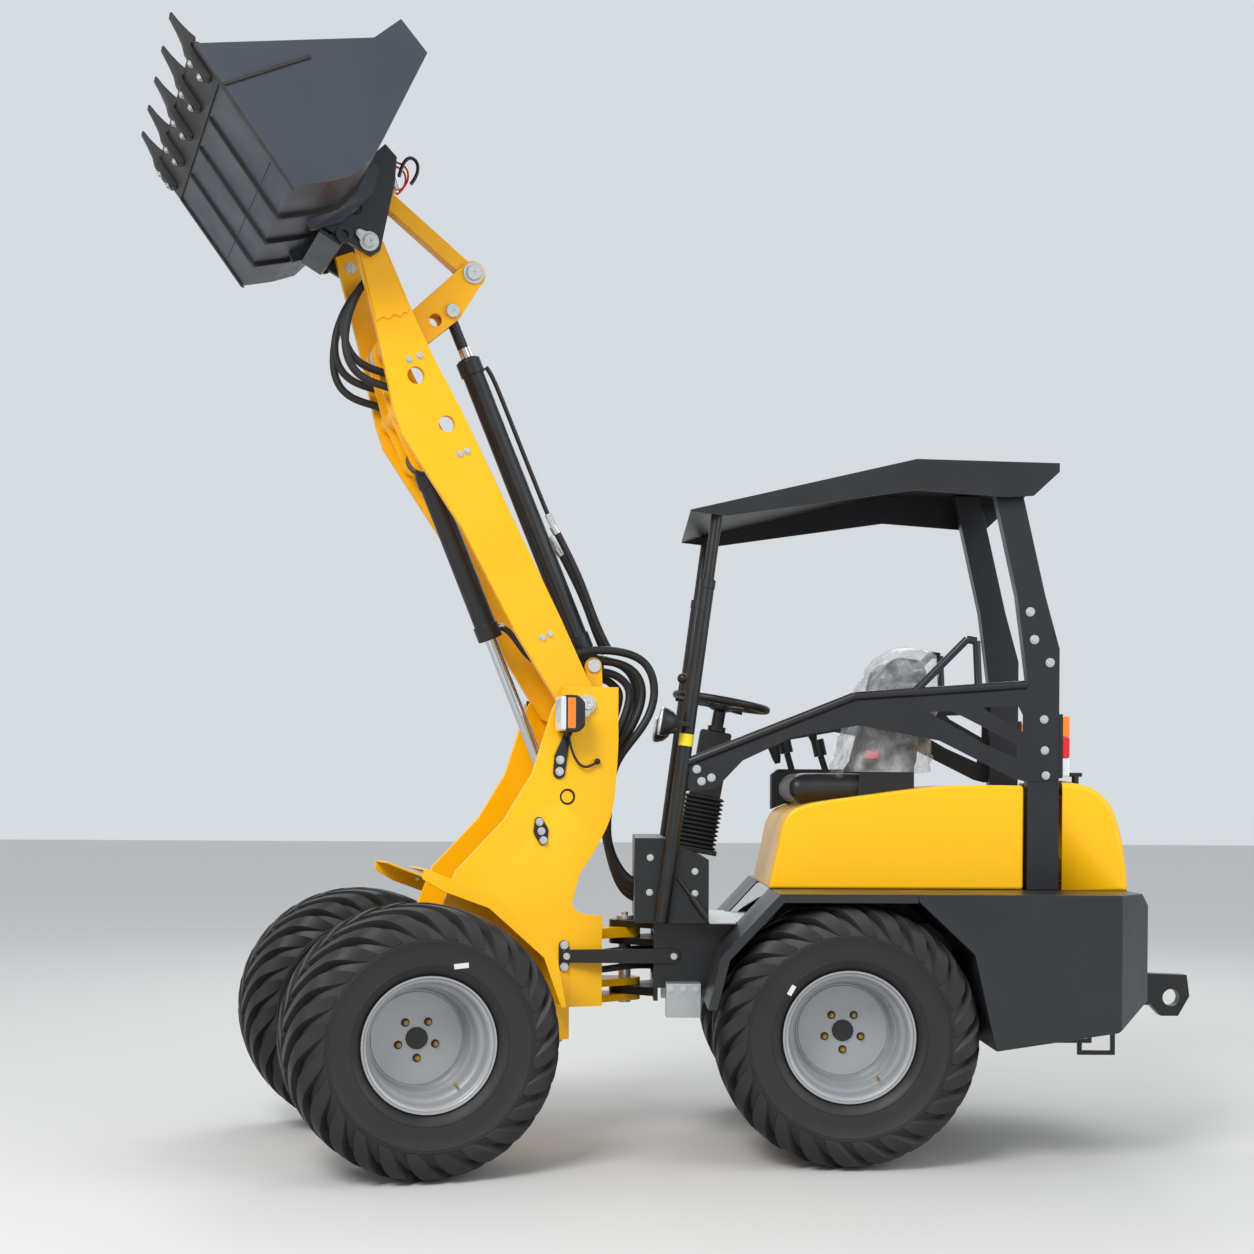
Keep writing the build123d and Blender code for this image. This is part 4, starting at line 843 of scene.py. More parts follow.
def frontHalf():
    body = "front_half"
    t = tower
    out = front["towerOut"]
    thick = t["fittingT"]
    dressAll((
        (yellowPaint, 0.0025, "front_frame"), (yellowPaint, 0.0015, "front_mudguards"),
        (blackPaint, 0.003, "front_axle"), (zincBolt, 0.001, "boom_pins")))
    for tag, side in flanks:
        outward = (0, side, 0)
        shapes, bolt = lockPlate(*front["pivot"], out + front["pinHeadT"], side, t["pivotBolt"])
        piece(f"pivot_keeper_{tag}", shapes, frontPlace, zincBolt, body, 0.001)
        bolts(f"pivot_keeper_bolt_{tag}", [bolt], outward, frontPlace, zincBolt, body, 0.009, 0.008)
        oval = plate(hull(*t["oval"]), side, out, thick)
        piece(f"oval_plate_{tag}", [oval], frontPlace, blackPaint, body, 0.002)
        bolts(f"oval_plate_bolts_{tag}", offTower([(x, thick, z) for x, z in t["ovalBolts"]], side),
              outward, frontPlace, zincBolt, body, 0.010)
        bracket = plate(hull(*t["lampArm"]), side, out, thick)
        stalk = rod(*offTower(t["lampStalk"], side), 0.010, 16)
        piece(f"lamp_bracket_{tag}", [bracket, stalk], frontPlace, blackPaint, body, 0.002)
        bolts(f"lamp_bracket_bolts_{tag}", offTower([(x, thick, z) for x, z in t["lampArmBolts"]], side),
              outward, frontPlace, zincBolt, body, 0.011)
        hose(f"lamp_cable_{tag}", offTower(t["cable"], side), t["cableR"], frontPlace, blackPlastic, body)
        endX, endZ = t["cableEnd"]
        end = lathe(ball(t["cableEndR"], 0, 8), (endX, side * out, endZ), outward, 20)
        piece(f"lamp_cable_end_{tag}", [end], frontPlace, blackPlastic, body)
        pinX, pinZ = front["liftFoot"]
        # a thin dark ring at the bottom of the lift pin's recess: painted shade in the gap round the pin
        gap = [(t[radius], height) for radius, height in (
            ("footPinR", 0), ("footPinR", t["footShadeRingT"]), ("footRecessR", t["footShadeRingT"]), ("footRecessR", 0))]
        ring = lathe(gap, (pinX, side * (out - t["footRecess"]), pinZ), outward, 32, True)
        piece(f"foot_pin_painted_shade_ring_{tag}", [ring], frontPlace, hoseRubber, body)
        piece(f"frame_cheeks_{tag}", cheeks(side), frontPlace, yellowPaint, body, 0.003)
        skirt = plate(t["guardEdge"] + t["guardFoot"], side, t["guardY"], t["guardT"])
        piece(f"mudguard_skirt_{tag}", [skirt], frontPlace, yellowPaint, body, 0.002)
        bolts(f"mudguard_bolts_{tag}", [(x, side * t["guardBoltY"], z) for x, z in t["guardBolts"]],
              (0.3, 0, 1), frontPlace, zincBolt, body, 0.008, 0.007)
        headlamp(side, tag)


headlampSettings = {
    "gap": 0.012, "width": 0.088,
    "housing": (
        (0.238, 1.432), (0.262, 1.412), (0.300, 1.410), (0.300, 1.538), (0.262, 1.536), (0.238, 1.514)),
    "parts": (          # name, finish, x from, to, how much wider than the housing, z from, to, round
        ("indicator", amberLens, 0.272, 0.302, 0.002, 1.424, 1.528, 0.004),
        ("lens", clearLens, 0.298, 0.322, -0.002, 1.416, 1.534, 0.010),
        ("bezel", blackPlastic, 0.296, 0.306, 0.001, 1.411, 1.537, 0.004)),
}


def headlamp(side, tag):
    s = headlampSettings
    near = front["towerOut"] + s["gap"]
    low, high = sorted((side * near, side * (near + s["width"])))
    housing = piece(f"headlamp_housing_{tag}", [prism(s["housing"], low, high)],
                    frontPlace, blackPlastic, "front_half", 0.008)
    if side > 0:
        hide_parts("headlamps")
    for name, material, xLow, xHigh, wider, zLow, zHigh, soften in s["parts"]:
        piece(f"headlamp_{name}_{tag}", [crate(xLow, xHigh, low - wider, high + wider, zLow, zHigh)],
              frontPlace, material, "front_half", soften)


frontHalf()
print("front half made")


# boom and linkage
boom = {
    "tipPlate": (
        (0.998, 3.030), (0.978, 3.044), (0.950, 3.050), (0.920, 3.034), (0.909, 3.012), (0.818, 2.806),
        (0.826, 2.790), (0.836, 2.794), (0.846, 2.776), (0.868, 2.784), (0.886, 2.766), (0.908, 2.772),
        (0.927, 2.757),
    ),
    "tipPlateT": 0.005, "tipBolt": (0.990, 3.030),
    "boltPairs": (
        (0.818, 2.640), (0.783, 2.655), (0.645, 2.339), (0.620, 2.349), (0.355, 1.735), (0.330, 1.748)),
    "rockerEnds": (("link", "rockerLink", 0.0475, 0.026), ("rod", "rockerRod", 0.045, 0.024)),
    "pivotEnd": (0.061, 0.030),         # as above: from the middle, radius
}
tiltCylinder = {        # lengths along the cylinder from its foot, and off its middle line
    "head": ((1.075, 1.128, 0.0435), (1.128, 1.134, 0.034)), "foot": ((0.062, 0.120, 0.043),),
    "ring": ((1.136, 1.170, 0.0206),), "lineY": 0.020,
    "pipe": ((1.085, 0.046), (1.060, 0.056), (1.000, 0.058), (0.560, 0.058), (0.540, 0.060)), "pipeR": 0.008,
    "fittings": (       # from, to, side of the middle, radius, facets
        ((0.545, 0.060), (0.480, 0.066), 1, 0.013, 6), ((0.470, 0.044), (0.405, 0.064), -1, 0.013, 6),
        ((0.500, 0.062), (0.470, 0.067), 1, 0.0155, 20), ((0.425, 0.056), (0.395, 0.066), -1, 0.0155, 20)),
    "hoses": ((0.470, 0.067, 1), (0.395, 0.066, -1)), "hoseR": 0.0125,
}
liftCylinder = {        # lengths along the cylinder from its top, and off its middle line
    "head": ((0.600, 0.654, 0.0435), (0.052, 0.100, 0.042)),
    "hose": ((0.620, 0.040), (0.640, 0.075), (0.720, 0.085), (0.800, 0.120), (0.830, 0.190)), "hoseR": 0.011,
    "fitting": ((0.620, 0.036), (0.628, 0.060)), "fittingR": 0.012,
}
tipHose = {
    "radius": 0.013,
    "lines": ((0.085, 0.0), (0.110, 0.05), (-0.085, 0.02), (-0.110, 0.07)),    # y, drop of the loop
    "route": (          # x, share of y, z, share of the drop
        (0.905, 1.0, 2.960, 0), (0.960, 1.0, 2.900, 0), (1.010, 1.0, 2.810, 0), (1.030, 1.05, 2.720, 1),
        (0.990, 1.05, 2.640, 1), (0.915, 1.0, 2.610, 1), (0.840, 1.0, 2.600, 1), (0.790, 0.9, 2.560, 1)),
}


def boomAndLinkage():
    body = "boom_arms"
    out = front["armOut"]
    dressAll((
        (boomPaint, 0.0025, "boom"), (boomPaint, 0.002, "rocker", "tilt_link"),
        (zincBolt, 0.001, "rocker_pin", "link_pin", "tilt_pin", "tip_pins"),
        (blackPaint, 0.002, "lift_barrel"), (chromeSteel, 0.001, "lift_rod"),
        (blackPaint, 0.002, "tilt_barrel"), (blackPaint, 0.001, "tilt_rod")))
    for tag, side in flanks:
        outward = (0, side, 0)
        tipPlate = plate(boom["tipPlate"], side, out, boom["tipPlateT"])
        piece(f"boom_tip_plate_{tag}", [tipPlate], frontPlace, boomPaint, body, 0.0015)
        bolts(f"boom_bolts_{tag}", [(x, side * out, z) for x, z in boom["boltPairs"]],
              outward, frontPlace, zincBolt, body, 0.0085, 0.008)
        for name, pin, face, radius in boom["rockerEnds"]:
            cap = pinEnd(*front[pin], side * face, side, radius)
            piece(f"rocker_{name}_pin_end_{tag}", [cap], frontPlace, zincBolt, "rocker")
        face, radius = boom["pivotEnd"]
        cap = pinEnd(*front["rockerPivot"], side * face, side, radius)
        piece(f"rocker_pivot_end_{tag}", [cap], frontPlace, zincBolt, body)
        tipFace = front["couplerOut"] + front["pinHeadT"]
        shapes, bolt = lockPlate(*front["tip"], tipFace, side, boom["tipBolt"])
        piece(f"tip_keeper_{tag}", shapes, frontPlace, zincBolt, "tip", 0.001)
        bolts(f"tip_keeper_bolt_{tag}", [bolt], outward, frontPlace, zincBolt, "tip", 0.009, 0.008)


def placesAlong(start, end):
    # gives a place by its distance along a cylinder, off its middle line and to the side
    way = Vector((end[0] - start[0], 0, end[1] - start[1])).normalized()
    across = Vector((-way.z, 0, way.x))

    def at(distance, offset=0.0, y=0.0):
        return Vector((start[0], y, start[1])) + way * distance + across * offset
    return at


def cylinders():
    s = tiltCylinder
    on = placesAlong(front["tiltBase"], front["rockerRod"])
    for name, part, material, body, bevel, facets in (
            ("tilt_cylinder_head", "head", blackPaint, "tilt_barrel", 0.003, 32),
            ("tilt_cylinder_foot", "foot", blackPaint, "tilt_barrel", 0.003, 32),
            ("tilt_rod_bright_ring", "ring", chromeSteel, "tilt_rod", 0.001, 28)):
        rings = [rod(on(low), on(high), radius, facets) for low, high, radius in s[part]]
        piece(name, rings, frontPlace, material, body, bevel)
    pipe = [on(*place, s["lineY"]) for place in s["pipe"]]
    hose("tilt_cylinder_pipe", pipe, s["pipeR"], frontPlace, blackPaint, "tilt_barrel")
    fittings = [rod(on(*low, side * s["lineY"]), on(*high, side * s["lineY"]), radius, facets)
                for low, high, side, radius, facets in s["fittings"]]
    piece("tilt_cylinder_fittings", fittings, frontPlace, zincBolt, "tilt_barrel", 0.001)
    for number, (start, off, side) in enumerate(s["hoses"], 1):
        y = side * s["lineY"]
        route = [on(start, off, y), on(start - 0.10, off + 0.012, y), on(start - 0.22, off + 0.018, y),
                 on(0.10, 0.075, y), on(0.02, 0.085, y * 1.6)]
        hose(f"tilt_cylinder_hose_{number}", route, s["hoseR"], frontPlace, hoseRubber, "tilt_barrel")
    s = liftCylinder
    on = placesAlong(front["liftTop"], front["liftFoot"])
    rings = [rod(on(low), on(high), radius, 32) for low, high, radius in s["head"]]
    piece("lift_cylinder_head", rings, frontPlace, blackPaint, "lift_barrel", 0.003)
    hose("lift_cylinder_hose_1", [on(low, -off) for low, off in s["hose"]], s["hoseR"],
         frontPlace, hoseRubber, "lift_barrel")
    fitting = rod(*[on(low, -off) for low, off in s["fitting"]], s["fittingR"], 6)
    piece("lift_cylinder_fitting", [fitting], frontPlace, zincBolt, "lift_barrel", 0.001)


def tipHoses():
    # looped lines between the arms near the boom's tip
    for number, (y, drop) in enumerate(tipHose["lines"], 1):
        route = [(x, y * share, z - drop * hangs) for x, share, z, hangs in tipHose["route"]]
        hose(f"tip_hose_{number}", route, tipHose["radius"], frontPlace, hoseRubber, "boom_arms")


boomAndLinkage()
cylinders()
tipHoses()
print("boom and linkage made")


# bucket and coupler: u forward along the floor from the heel, v up
bucketFrame = {
    "heel": (1.268, 3.034), "tilt": 53.5, "floor": 0.486, "seam": 0.361, "width": 1.200, "sideT": 0.012,
    "edgeT": 0.016, "edgeBevel": 0.014, "wearT": 0.006,
    "teeth": 5, "toothW": 0.044, "toothInset": 0.040, "toothBolts": (0.412, 0.458), "toothBoltV": -0.029,
    "tooth": (
        (0.392, 0.0), (0.388, -0.012), (0.396, -0.026), (0.440, -0.030), (0.492, -0.026), (0.520, -0.014),
        (0.560, -0.006), (0.606, 0.0), (0.6058, 0.008), (0.570, 0.011), (0.535, 0.018), (0.510, 0.026),
        (0.500, 0.018), (0.500, 0.0)),
    "ribs": 3, "ribStep": 0.288, "ribT": 0.012,
    "rib": (
        (0.357, 0.0), (0.351, -0.010), (0.020, -0.010), (-0.012, -0.008), (-0.058, 0.098), (-0.083, 0.180),
        (-0.071, 0.262), (-0.040, 0.318), (-0.028, 0.320), (-0.055, 0.264), (-0.067, 0.182), (-0.043, 0.100),
        (0.001, 0.001)),
    "seamAt": 0.102, "seamW": 0.004, "seamLow": -0.0025, "seamHalf": 0.105,
    "strip": ((0.361, 0.0), (0.361, -0.007), (0.0, -0.007), (-0.010, 0.0)), "stripW": 0.016,
    "bar": ((0.352, 0.002), (0.342, 0.002), (0.282, 0.274), (0.292, 0.278)), "barT": 0.006,
}
couplerSettings = {
    "ring": (-0.145, 0.176), "ringSection": ((0.014, 0), (0.014, 0.012), (0.028, 0.012), (0.028, 0)),
    "lower": ((-0.165, 0.160), (-0.165, 0.144), (-0.095, 0.112), (-0.088, 0.124)),
    "web": ((-0.160, 0.162), (-0.100, 0.132), (-0.100, 0.160), (-0.150, 0.180)),
    "webs": (-0.10, -0.035, 0.035, 0.10),
    "webT": 0.012, "plugs": (0.070, 0.110), "plugAt": (-0.100, 0.440), "plugTilt": 18, "strapR": 0.0035,
    "strap": ((0.000, 0.02, 0.080), (-0.045, 0.03, 0.075), (-0.055, 0.02, 0.020), (-0.010, 0.01, -0.010)),
    "loopAt": (-0.060, 0.500), "loopY": 0.15, "loopR": 0.006,
    "loop": ((0.02, -0.04), (0.005, 0.03), (-0.045, 0.035), (-0.050, -0.02), (-0.02, -0.06)),
}


def inBucket(u, v):
    a = math.radians(bucketFrame["tilt"])
    x0, z0 = bucketFrame["heel"]
    return (x0 + u * math.cos(a) - v * math.sin(a), z0 + u * math.sin(a) + v * math.cos(a))


def bucketPrism(outline, yLow, yHigh):
    return prism([inBucket(u, v) for u, v in outline], yLow, yHigh)


def bucketDetails():
    body = "bucket"
    b = bucketFrame
    half = b["width"] / 2
    inner = half - b["sideT"]
    seam = b["seam"]
    floor = b["floor"]
    dressAll(((bucketPaint, 0.002, "bucket"), (greyPaint, 0.002, "coupler")))
    edge = ((seam, 0), (floor + b["edgeBevel"], 0), (floor, b["edgeT"]), (seam, b["edgeT"]))
    edgePlate = piece("cutting_edge_shape", [bucketPrism(edge, -inner, inner)],
                      frontPlace, edgePaint, body, 0.0015)
    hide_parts("cutting_edge")
    wear = ((seam, -b["wearT"]), (floor - 0.002, -b["wearT"]), (floor - 0.002, 0), (seam, 0))
    piece("edge_wear_plate", [bucketPrism(wear, -half, half)], frontPlace, edgePaint, body, 0.0012)
    pitch = (b["width"] - 2 * b["toothInset"] - b["toothW"]) / (b["teeth"] - 1)
    first = -pitch * (b["teeth"] - 1) / 2
    one = meshOf("tooth", [bucketPrism(b["tooth"], first - b["toothW"] / 2, first + b["toothW"] / 2)])
    row = grown(repeatRow, one, {"Count": b["teeth"], "Step": (0, pitch, 0), "Material": edgePaint})
    finished("bucket_teeth", turnedMesh(row, frontPlace), None, body, 0.004, 35)
    tilt = math.radians(b["tilt"])
    down = Vector((math.sin(tilt), 0, -math.cos(tilt)))
    spots = []
    for i in range(b["teeth"]):
        for u in b["toothBolts"]:
            x, z = inBucket(u, b["toothBoltV"])
            spots.append((x, first + i * pitch, z))
    bolts("tooth_bolts", spots, down, frontPlace, zincBolt, body, 0.009, 0.007)
    step = b["ribStep"]
    oneRib = meshOf("rib", [bucketPrism(b["rib"], -step - b["ribT"] / 2, -step + b["ribT"] / 2)])
    ribs = grown(repeatRow, oneRib, {"Count": b["ribs"], "Step": (0, step, 0), "Material": edgePaint})
    finished("floor_ribs", turnedMesh(ribs, frontPlace), None, body, 0.001, 30)
    strips = bothSides(bucketPrism(b["strip"], half - b["stripW"], half))
    piece("floor_edge_strips", strips, frontPlace, edgePaint, body, 0.001)
    fore = b["seamAt"] + b["seamW"] / 2
    back = b["seamAt"] - b["seamW"] / 2
    line = ((fore, 0.0), (fore, b["seamLow"]), (back, b["seamLow"]), (back, 0.0))
    middles = [(k - b["ribs"] / 2) * step for k in range(b["ribs"] + 1)]
    seams = [bucketPrism(line, y - b["seamHalf"], y + b["seamHalf"]) for y in middles]
    piece("floor_cross_seams", seams, frontPlace, bucketPaint, body, 0.0008)
    bars = bothSides(bucketPrism(b["bar"], half, half + b["barT"]))
    piece("side_plate_bars", bars, frontPlace, edgePaint, body, 0.001)


def couplerDetails():
    body = "bucket"
    s = couplerSettings
    x, z = inBucket(*s["ring"])
    ring = lathe(s["ringSection"], (x, front["couplerOut"], z), (0, 1, 0), 28, True)
    piece("coupler_rings", bothSides(ring), frontPlace, greyPaint, body, 0.001)
    lower = bucketPrism(s["lower"], -front["couplerOut"], front["couplerOut"])
    piece("coupler_lower_plate", [lower], frontPlace, greyPaint, body, 0.002)
    webs = [bucketPrism(s["web"], y - s["webT"] / 2, y + s["webT"] / 2) for y in s["webs"]]
    piece("coupler_webs", webs, frontPlace, greyPaint, body, 0.001)
    x, z = inBucket(*s["plugAt"])
    for number, y in enumerate(s["plugs"], 1):
        here = frontPlace @ Matrix.Translation((x, y, z))
        here = here @ Matrix.Rotation(math.radians(s["plugTilt"]), 4, "Y")
        plug = [rod((0, 0, -0.005), (0, 0, 0.050), 0.015, 20), rod((0, 0, 0.050), (0, 0, 0.066), 0.019, 20)]
        piece(f"hydraulic_coupling_{number}", plug, here, zincBolt, body, 0.001)
        cap = [rod((0, 0, 0.062), (0, 0, 0.098), 0.021, 24), crate(-0.006, 0.006, 0.018, 0.040, 0.066, 0.078)]
        piece(f"coupling_cap_{number}", cap, here, redPlastic, body, 0.002)
        strap = [(x + dx, y + dy, z + dz) for dx, dy, dz in s["strap"]]
        hose(f"coupling_strap_{number}", strap, s["strapR"], frontPlace, redPlastic, body, 8)
    x, z = inBucket(*s["loopAt"])
    loop = [(x + dx, s["loopY"], z + dz) for dx, dz in s["loop"]]
    hose("lifting_loop", loop, s["loopR"], frontPlace, blackPaint, body, 8)


bucketDetails()
couplerDetails()
print("bucket and coupler made")


# rear half
rear = {
    "hoodHalf": 0.350, "postY": 0.350, "postFoot": (-0.119, 0.7753), "postTop": (-0.302, 2.1605),
    "collar": (1.895, 1.925, 0.0262), "tape": (1.368, 1.408, 0.0248),       # z from, to, radius
    "postHeads": ((-1.353, 1.824), (-1.368, 1.731), (-1.421, 1.654)), "railOut": 0.0053,
    "railHeads": (
        (-1.401, 1.463), (-1.404, 1.359), (-1.408, 1.275), (-0.236, 1.290), (-0.252, 1.250), (-0.285, 1.262)),
    "consoleHeads": ((-0.082, 0.992), (-0.233, 0.946), (-0.080, 0.875), (-0.233, 0.872)), "consoleY": 0.3257,
    "strut": (          # from, to, radius, facets
        ((-0.176, 0.923), (-0.225, 0.855), 0.0065, 14), ((-0.222, 0.859), (-0.272, 0.790), 0.011, 16)),
    "strutOut": 0.014, "stepHeads": ((-0.152, 0.552), (-0.196, 0.552), (-0.240, 0.552)), "stepY": 0.345,
    "pinHeadZ": 0.777, "pinHead": (0.012, 0.012),
}


def onPost(side, z):
    # a place on a front post's middle line
    footX, footZ = rear["postFoot"]
    topX, topZ = rear["postTop"]
    return (footX + (topX - footX) * (z - footZ) / (topZ - footZ), side * rear["postY"], z)


def postSleeve(side, low, high, radius, facets):
    return rod(onPost(side, low), onPost(side, high), radius, facets)


def rearHalf():
    body = "chassis"
    r = rear
    dressAll((
        (blackPaint, 0.0025, "rear_frame"), (zincBolt, 0.001, "articulation_pin"),
        (blackPaint, 0.003, "rear_axle"), (greyPaint, 0.0012, "rear_mudguards")))
    dress("side_tanks", greyPaint, 0.004, segments=3)
    dressAll(((greyPaint, 0.003, "counterweight"), (castGrey, 0.004, "engine_block")))
    bonnet()
    dressAll((
        (galvanised, 0.0008, "floor_plate"), (galvanised, 0.002, "step_boxes"),
        (blackPaint, 0.002, "console", "front_posts"), (postPaint, 0.003, "rear_posts"),
        (postPaint, 0.004, "roof"), (postPaint, 0.0012, "side_rails"),
        (blackPaint, 0.003, "tow_hook"), (blackPaint, 0.002, "tie_down_loops")))
    dress("control_box", blackPlastic, 0.005, segments=3)
    dressAll(((blackPaint, 0.002, "steer_barrel"), (chromeSteel, 0.001, "steer_rod")))
    for tag, side in flanks:
        def heads(name, places, y, radius, height):
            bolts(f"{name}_{tag}", [(x, side * y, z) for x, z in places], (0, side, 0),
                  rearPlace, zincBolt, body, radius, height)
        heads("post_bolts", r["postHeads"], r["hoodHalf"], 0.0115, 0.008)
        heads("rail_bolts", r["railHeads"], r["hoodHalf"] + r["railOut"], 0.0105, 0.008)
        heads("console_bolts", r["consoleHeads"], r["consoleY"], 0.0085, 0.006)
        strutY = side * (r["consoleY"] + r["strutOut"])
        strut = [rod((x, strutY, z), (endX, strutY, endZ), radius, facets)
                 for (x, z), (endX, endZ), radius, facets in r["strut"]]
        piece(f"console_strut_{tag}", strut, rearPlace, blackPaint, body, 0.001)
        heads("step_box_bolts", r["stepHeads"], r["stepY"], 0.009, 0.006)
        collar = postSleeve(side, *r["collar"], 28)
        piece(f"post_collar_{tag}", [collar], rearPlace, blackPaint, body, 0.002)
    piece("post_tape", [postSleeve(1, *r["tape"], 32)], rearPlace, yellowTape, body)
    upright = Matrix.Translation((0, 0, r["pinHeadZ"])) @ Matrix.Rotation(math.radians(90), 4, "X")
    piece("frame_pin_bolt", [disc(0, 0, 0, 1, *r["pinHead"])], rearPlace @ upright, zincBolt, body)


bonnetSettings = {
    "base": 0.8903, "rear": -1.336, "round": 0.022, "segments": 5,
    "top": (
        (-0.478, 0.8903), (-0.505, 1.010), (-0.532, 1.120), (-0.590, 1.168), (-0.754, 1.198), (-1.064, 1.238),
        (-1.336, 1.241)),
    "hatch": (          # from the front of its top round to its lower edge
        (-1.4672, 1.2535), (-1.530, 1.2465), (-1.590, 1.222), (-1.637, 1.170), (-1.667, 1.085),
        (-1.684, 0.990),
        (-1.6925, 0.8905)),
    "hatchInset": 0.0052, "hatchRound": 0.020, "hatchWall": 0.006,
    "knuckle": (-1.699, 0.900), "knuckleY": (0.176, 0.224), "knuckleR": 0.0088,
}


def bonnet():
    s = bonnetSettings
    half = rear["hoodHalf"]
    hood = piece("hood_shell_shape", [prism(eased(s["top"]) + [(s["rear"], s["base"])], -half, half)],
                 rearPlace, yellowPaint, "chassis", s["round"], 30, s["segments"])
    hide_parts("hood_shell")
    back = eased(s["hatch"])
    outline = back + [(s["hatch"][0][0], s["hatch"][-1][1])]
    count = len(outline)
    points, faces = prism(outline, -half + s["hatchInset"], half - s["hatchInset"])
    openFaces = faces[:count - 2] + faces[count:]       # the hatch is open in front and below
    tail = piece("rear_hatch_shape", [(points, openFaces)],
                 rearPlace, yellowPaint, "rear_hatch", s["hatchRound"], 30, s["segments"])
    tail.modifiers["edges"].harden_normals = False
    wall = tail.modifiers.new("wall", "SOLIDIFY")
    wall.thickness = s["hatchWall"]
    wall.offset = -1
    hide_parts("rear_hatch")
    x, z = s["knuckle"]
    low, high = s["knuckleY"]
    piece("hatch_knuckles", bothSides(rod((x, low, z), (x, high, z), s["knuckleR"], 20)),
          rearPlace, yellowPaint, "rear_hatch", 0.001)


steering = {            # lengths along the shaft are from the column's foot, the wheel's parts from its hub
    "foot": (-0.245, 1.005), "hub": (-0.338, 1.531), "wheelR": 0.175, "tube": 0.014, "spokes": 3,
    "spoke": (
        (0.020, -0.016), (0.100, -0.011), (0.162, -0.010), (0.162, 0.010), (0.100, 0.011), (0.020, 0.016)),
    "spokeZ": (-0.024, -0.014),
    "boss": ((0.030, -0.031), (0.042, -0.024), (0.046, -0.010), (0.040, 0.004), (0.012, 0.008)),
    "knobTurn": 20, "knobR": 0.019, "knobFoot": 0.036, "knobStem": (0.005, 0.045, 0.009),
    "folds": 12, "foldH": 0.0156, "foldIn": 0.80, "foldHalf": (0.056, 0.072), "foldsFrom": 0.012,
    "shroud": (0.040, 0.055, 0.195, 0.430), "flange": (0.058, 0.076, -0.004, 0.014),  # half sizes, z from, to
    "shaft": ((0.430, 0.502, 0.022), (0.430, 0.448, 0.032)),                              # z from, to, radius
    "lever": ((0.040, 0.020, 0.330), (0.060, 0.020, 0.332), 0.012),
}


def columnPlace(origin):
    # the steering column's own frame, Z along its shaft
    foot, hub = (Vector((x, 0, z)) for x, z in (steering["foot"], steering["hub"]))
    turn = (hub - foot).normalized().to_track_quat("Z", "Y").to_matrix().to_4x4()
    return rearPlace @ Matrix.Translation(hub if origin == "hub" else foot) @ turn


def steeringWheel():
    body = "steering_wheel"
    s = steering
    here = columnPlace("hub")
    big = s["wheelR"] - s["tube"]
    turns = [2 * math.pi * i / 14 for i in range(14)]
    section = [(big + s["tube"] * math.cos(a), s["tube"] * math.sin(a)) for a in turns]
    rim = piece("steering_wheel_rim", [lathe(section, (0, 0, 0), (0, 0, 1), 56, True)],
                here, blackPlastic, body, 0, 60)
    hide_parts("steering_wheel")
    arm = slab(s["spoke"], *s["spokeZ"])
    turns = [math.radians(90 + 360 / s["spokes"] * i) for i in range(s["spokes"])]
    spokes = [moved(arm, Matrix.Rotation(a, 4, "Z")) for a in turns]
    piece("steering_wheel_spokes", spokes, here, blackPlastic, body, 0.003)
    piece("steering_wheel_hub", [lathe(s["boss"], (0, 0, 0), (0, 0, 1), 36)], here, blackPlastic, body, 0.001)
    a = math.radians(s["knobTurn"])
    knobX, knobY = -math.sin(a) * big, math.cos(a) * big
    low, high, stemR = s["knobStem"]
    knob = lathe(ball(s["knobR"], s["knobFoot"], 12), (knobX, knobY, 0), (0, 0, 1), 24)
    stem = rod((knobX, knobY, low), (knobX, knobY, high), stemR, 16)
    piece("steering_knob", [knob, stem], here, blackPlastic, body)


def box(halfX, halfY, low, high):
    return slab(((-halfX, -halfY), (halfX, -halfY), (halfX, halfY), (-halfX, halfY)), low, high)


def steeringColumn():
    body = "chassis"
    s = steering
    here = columnPlace("foot")
    corner = math.sqrt(2)       # a four-sided turned shape reaches this far at its corners
    fold = lathe(((corner * s["foldIn"], 0.0), (corner, s["foldH"] / 2), (corner * s["foldIn"], s["foldH"])),
                 (0, 0, 0), (0, 0, 1), 4)
    points, faces = moved(fold, Matrix.Rotation(math.radians(45), 4, "Z"))
    halfX, halfY = s["foldHalf"]
    one = meshOf("fold", [([(p.x * halfX, p.y * halfY, p.z) for p in points], faces)])
    bellows = grown(repeatRow, one, {"Count": s["folds"], "Step": (0, 0, s["foldH"]), "Material": hoseRubber})
    bellows = turnedMesh(bellows, here @ Matrix.Translation((0, 0, s["foldsFrom"])))
    made = finished("column_bellows", bellows, None, body, 0.0025, 30)
    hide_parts("steering_column")
    piece("column_shroud", [box(*s["shroud"])], here, blackPlastic, body, 0.008)
    piece("column_foot", [box(*s["flange"])], here, blackPaint, body, 0.003)
    shaft = [rod((0, 0, low), (0, 0, high), radius, 28) for low, high, radius in s["shaft"]]
    piece("column_shaft", shaft, here, blackPaint, body, 0.002)
    piece("column_knob", [rod(*s["lever"], 20)], here, blackPlastic, body, 0.002)


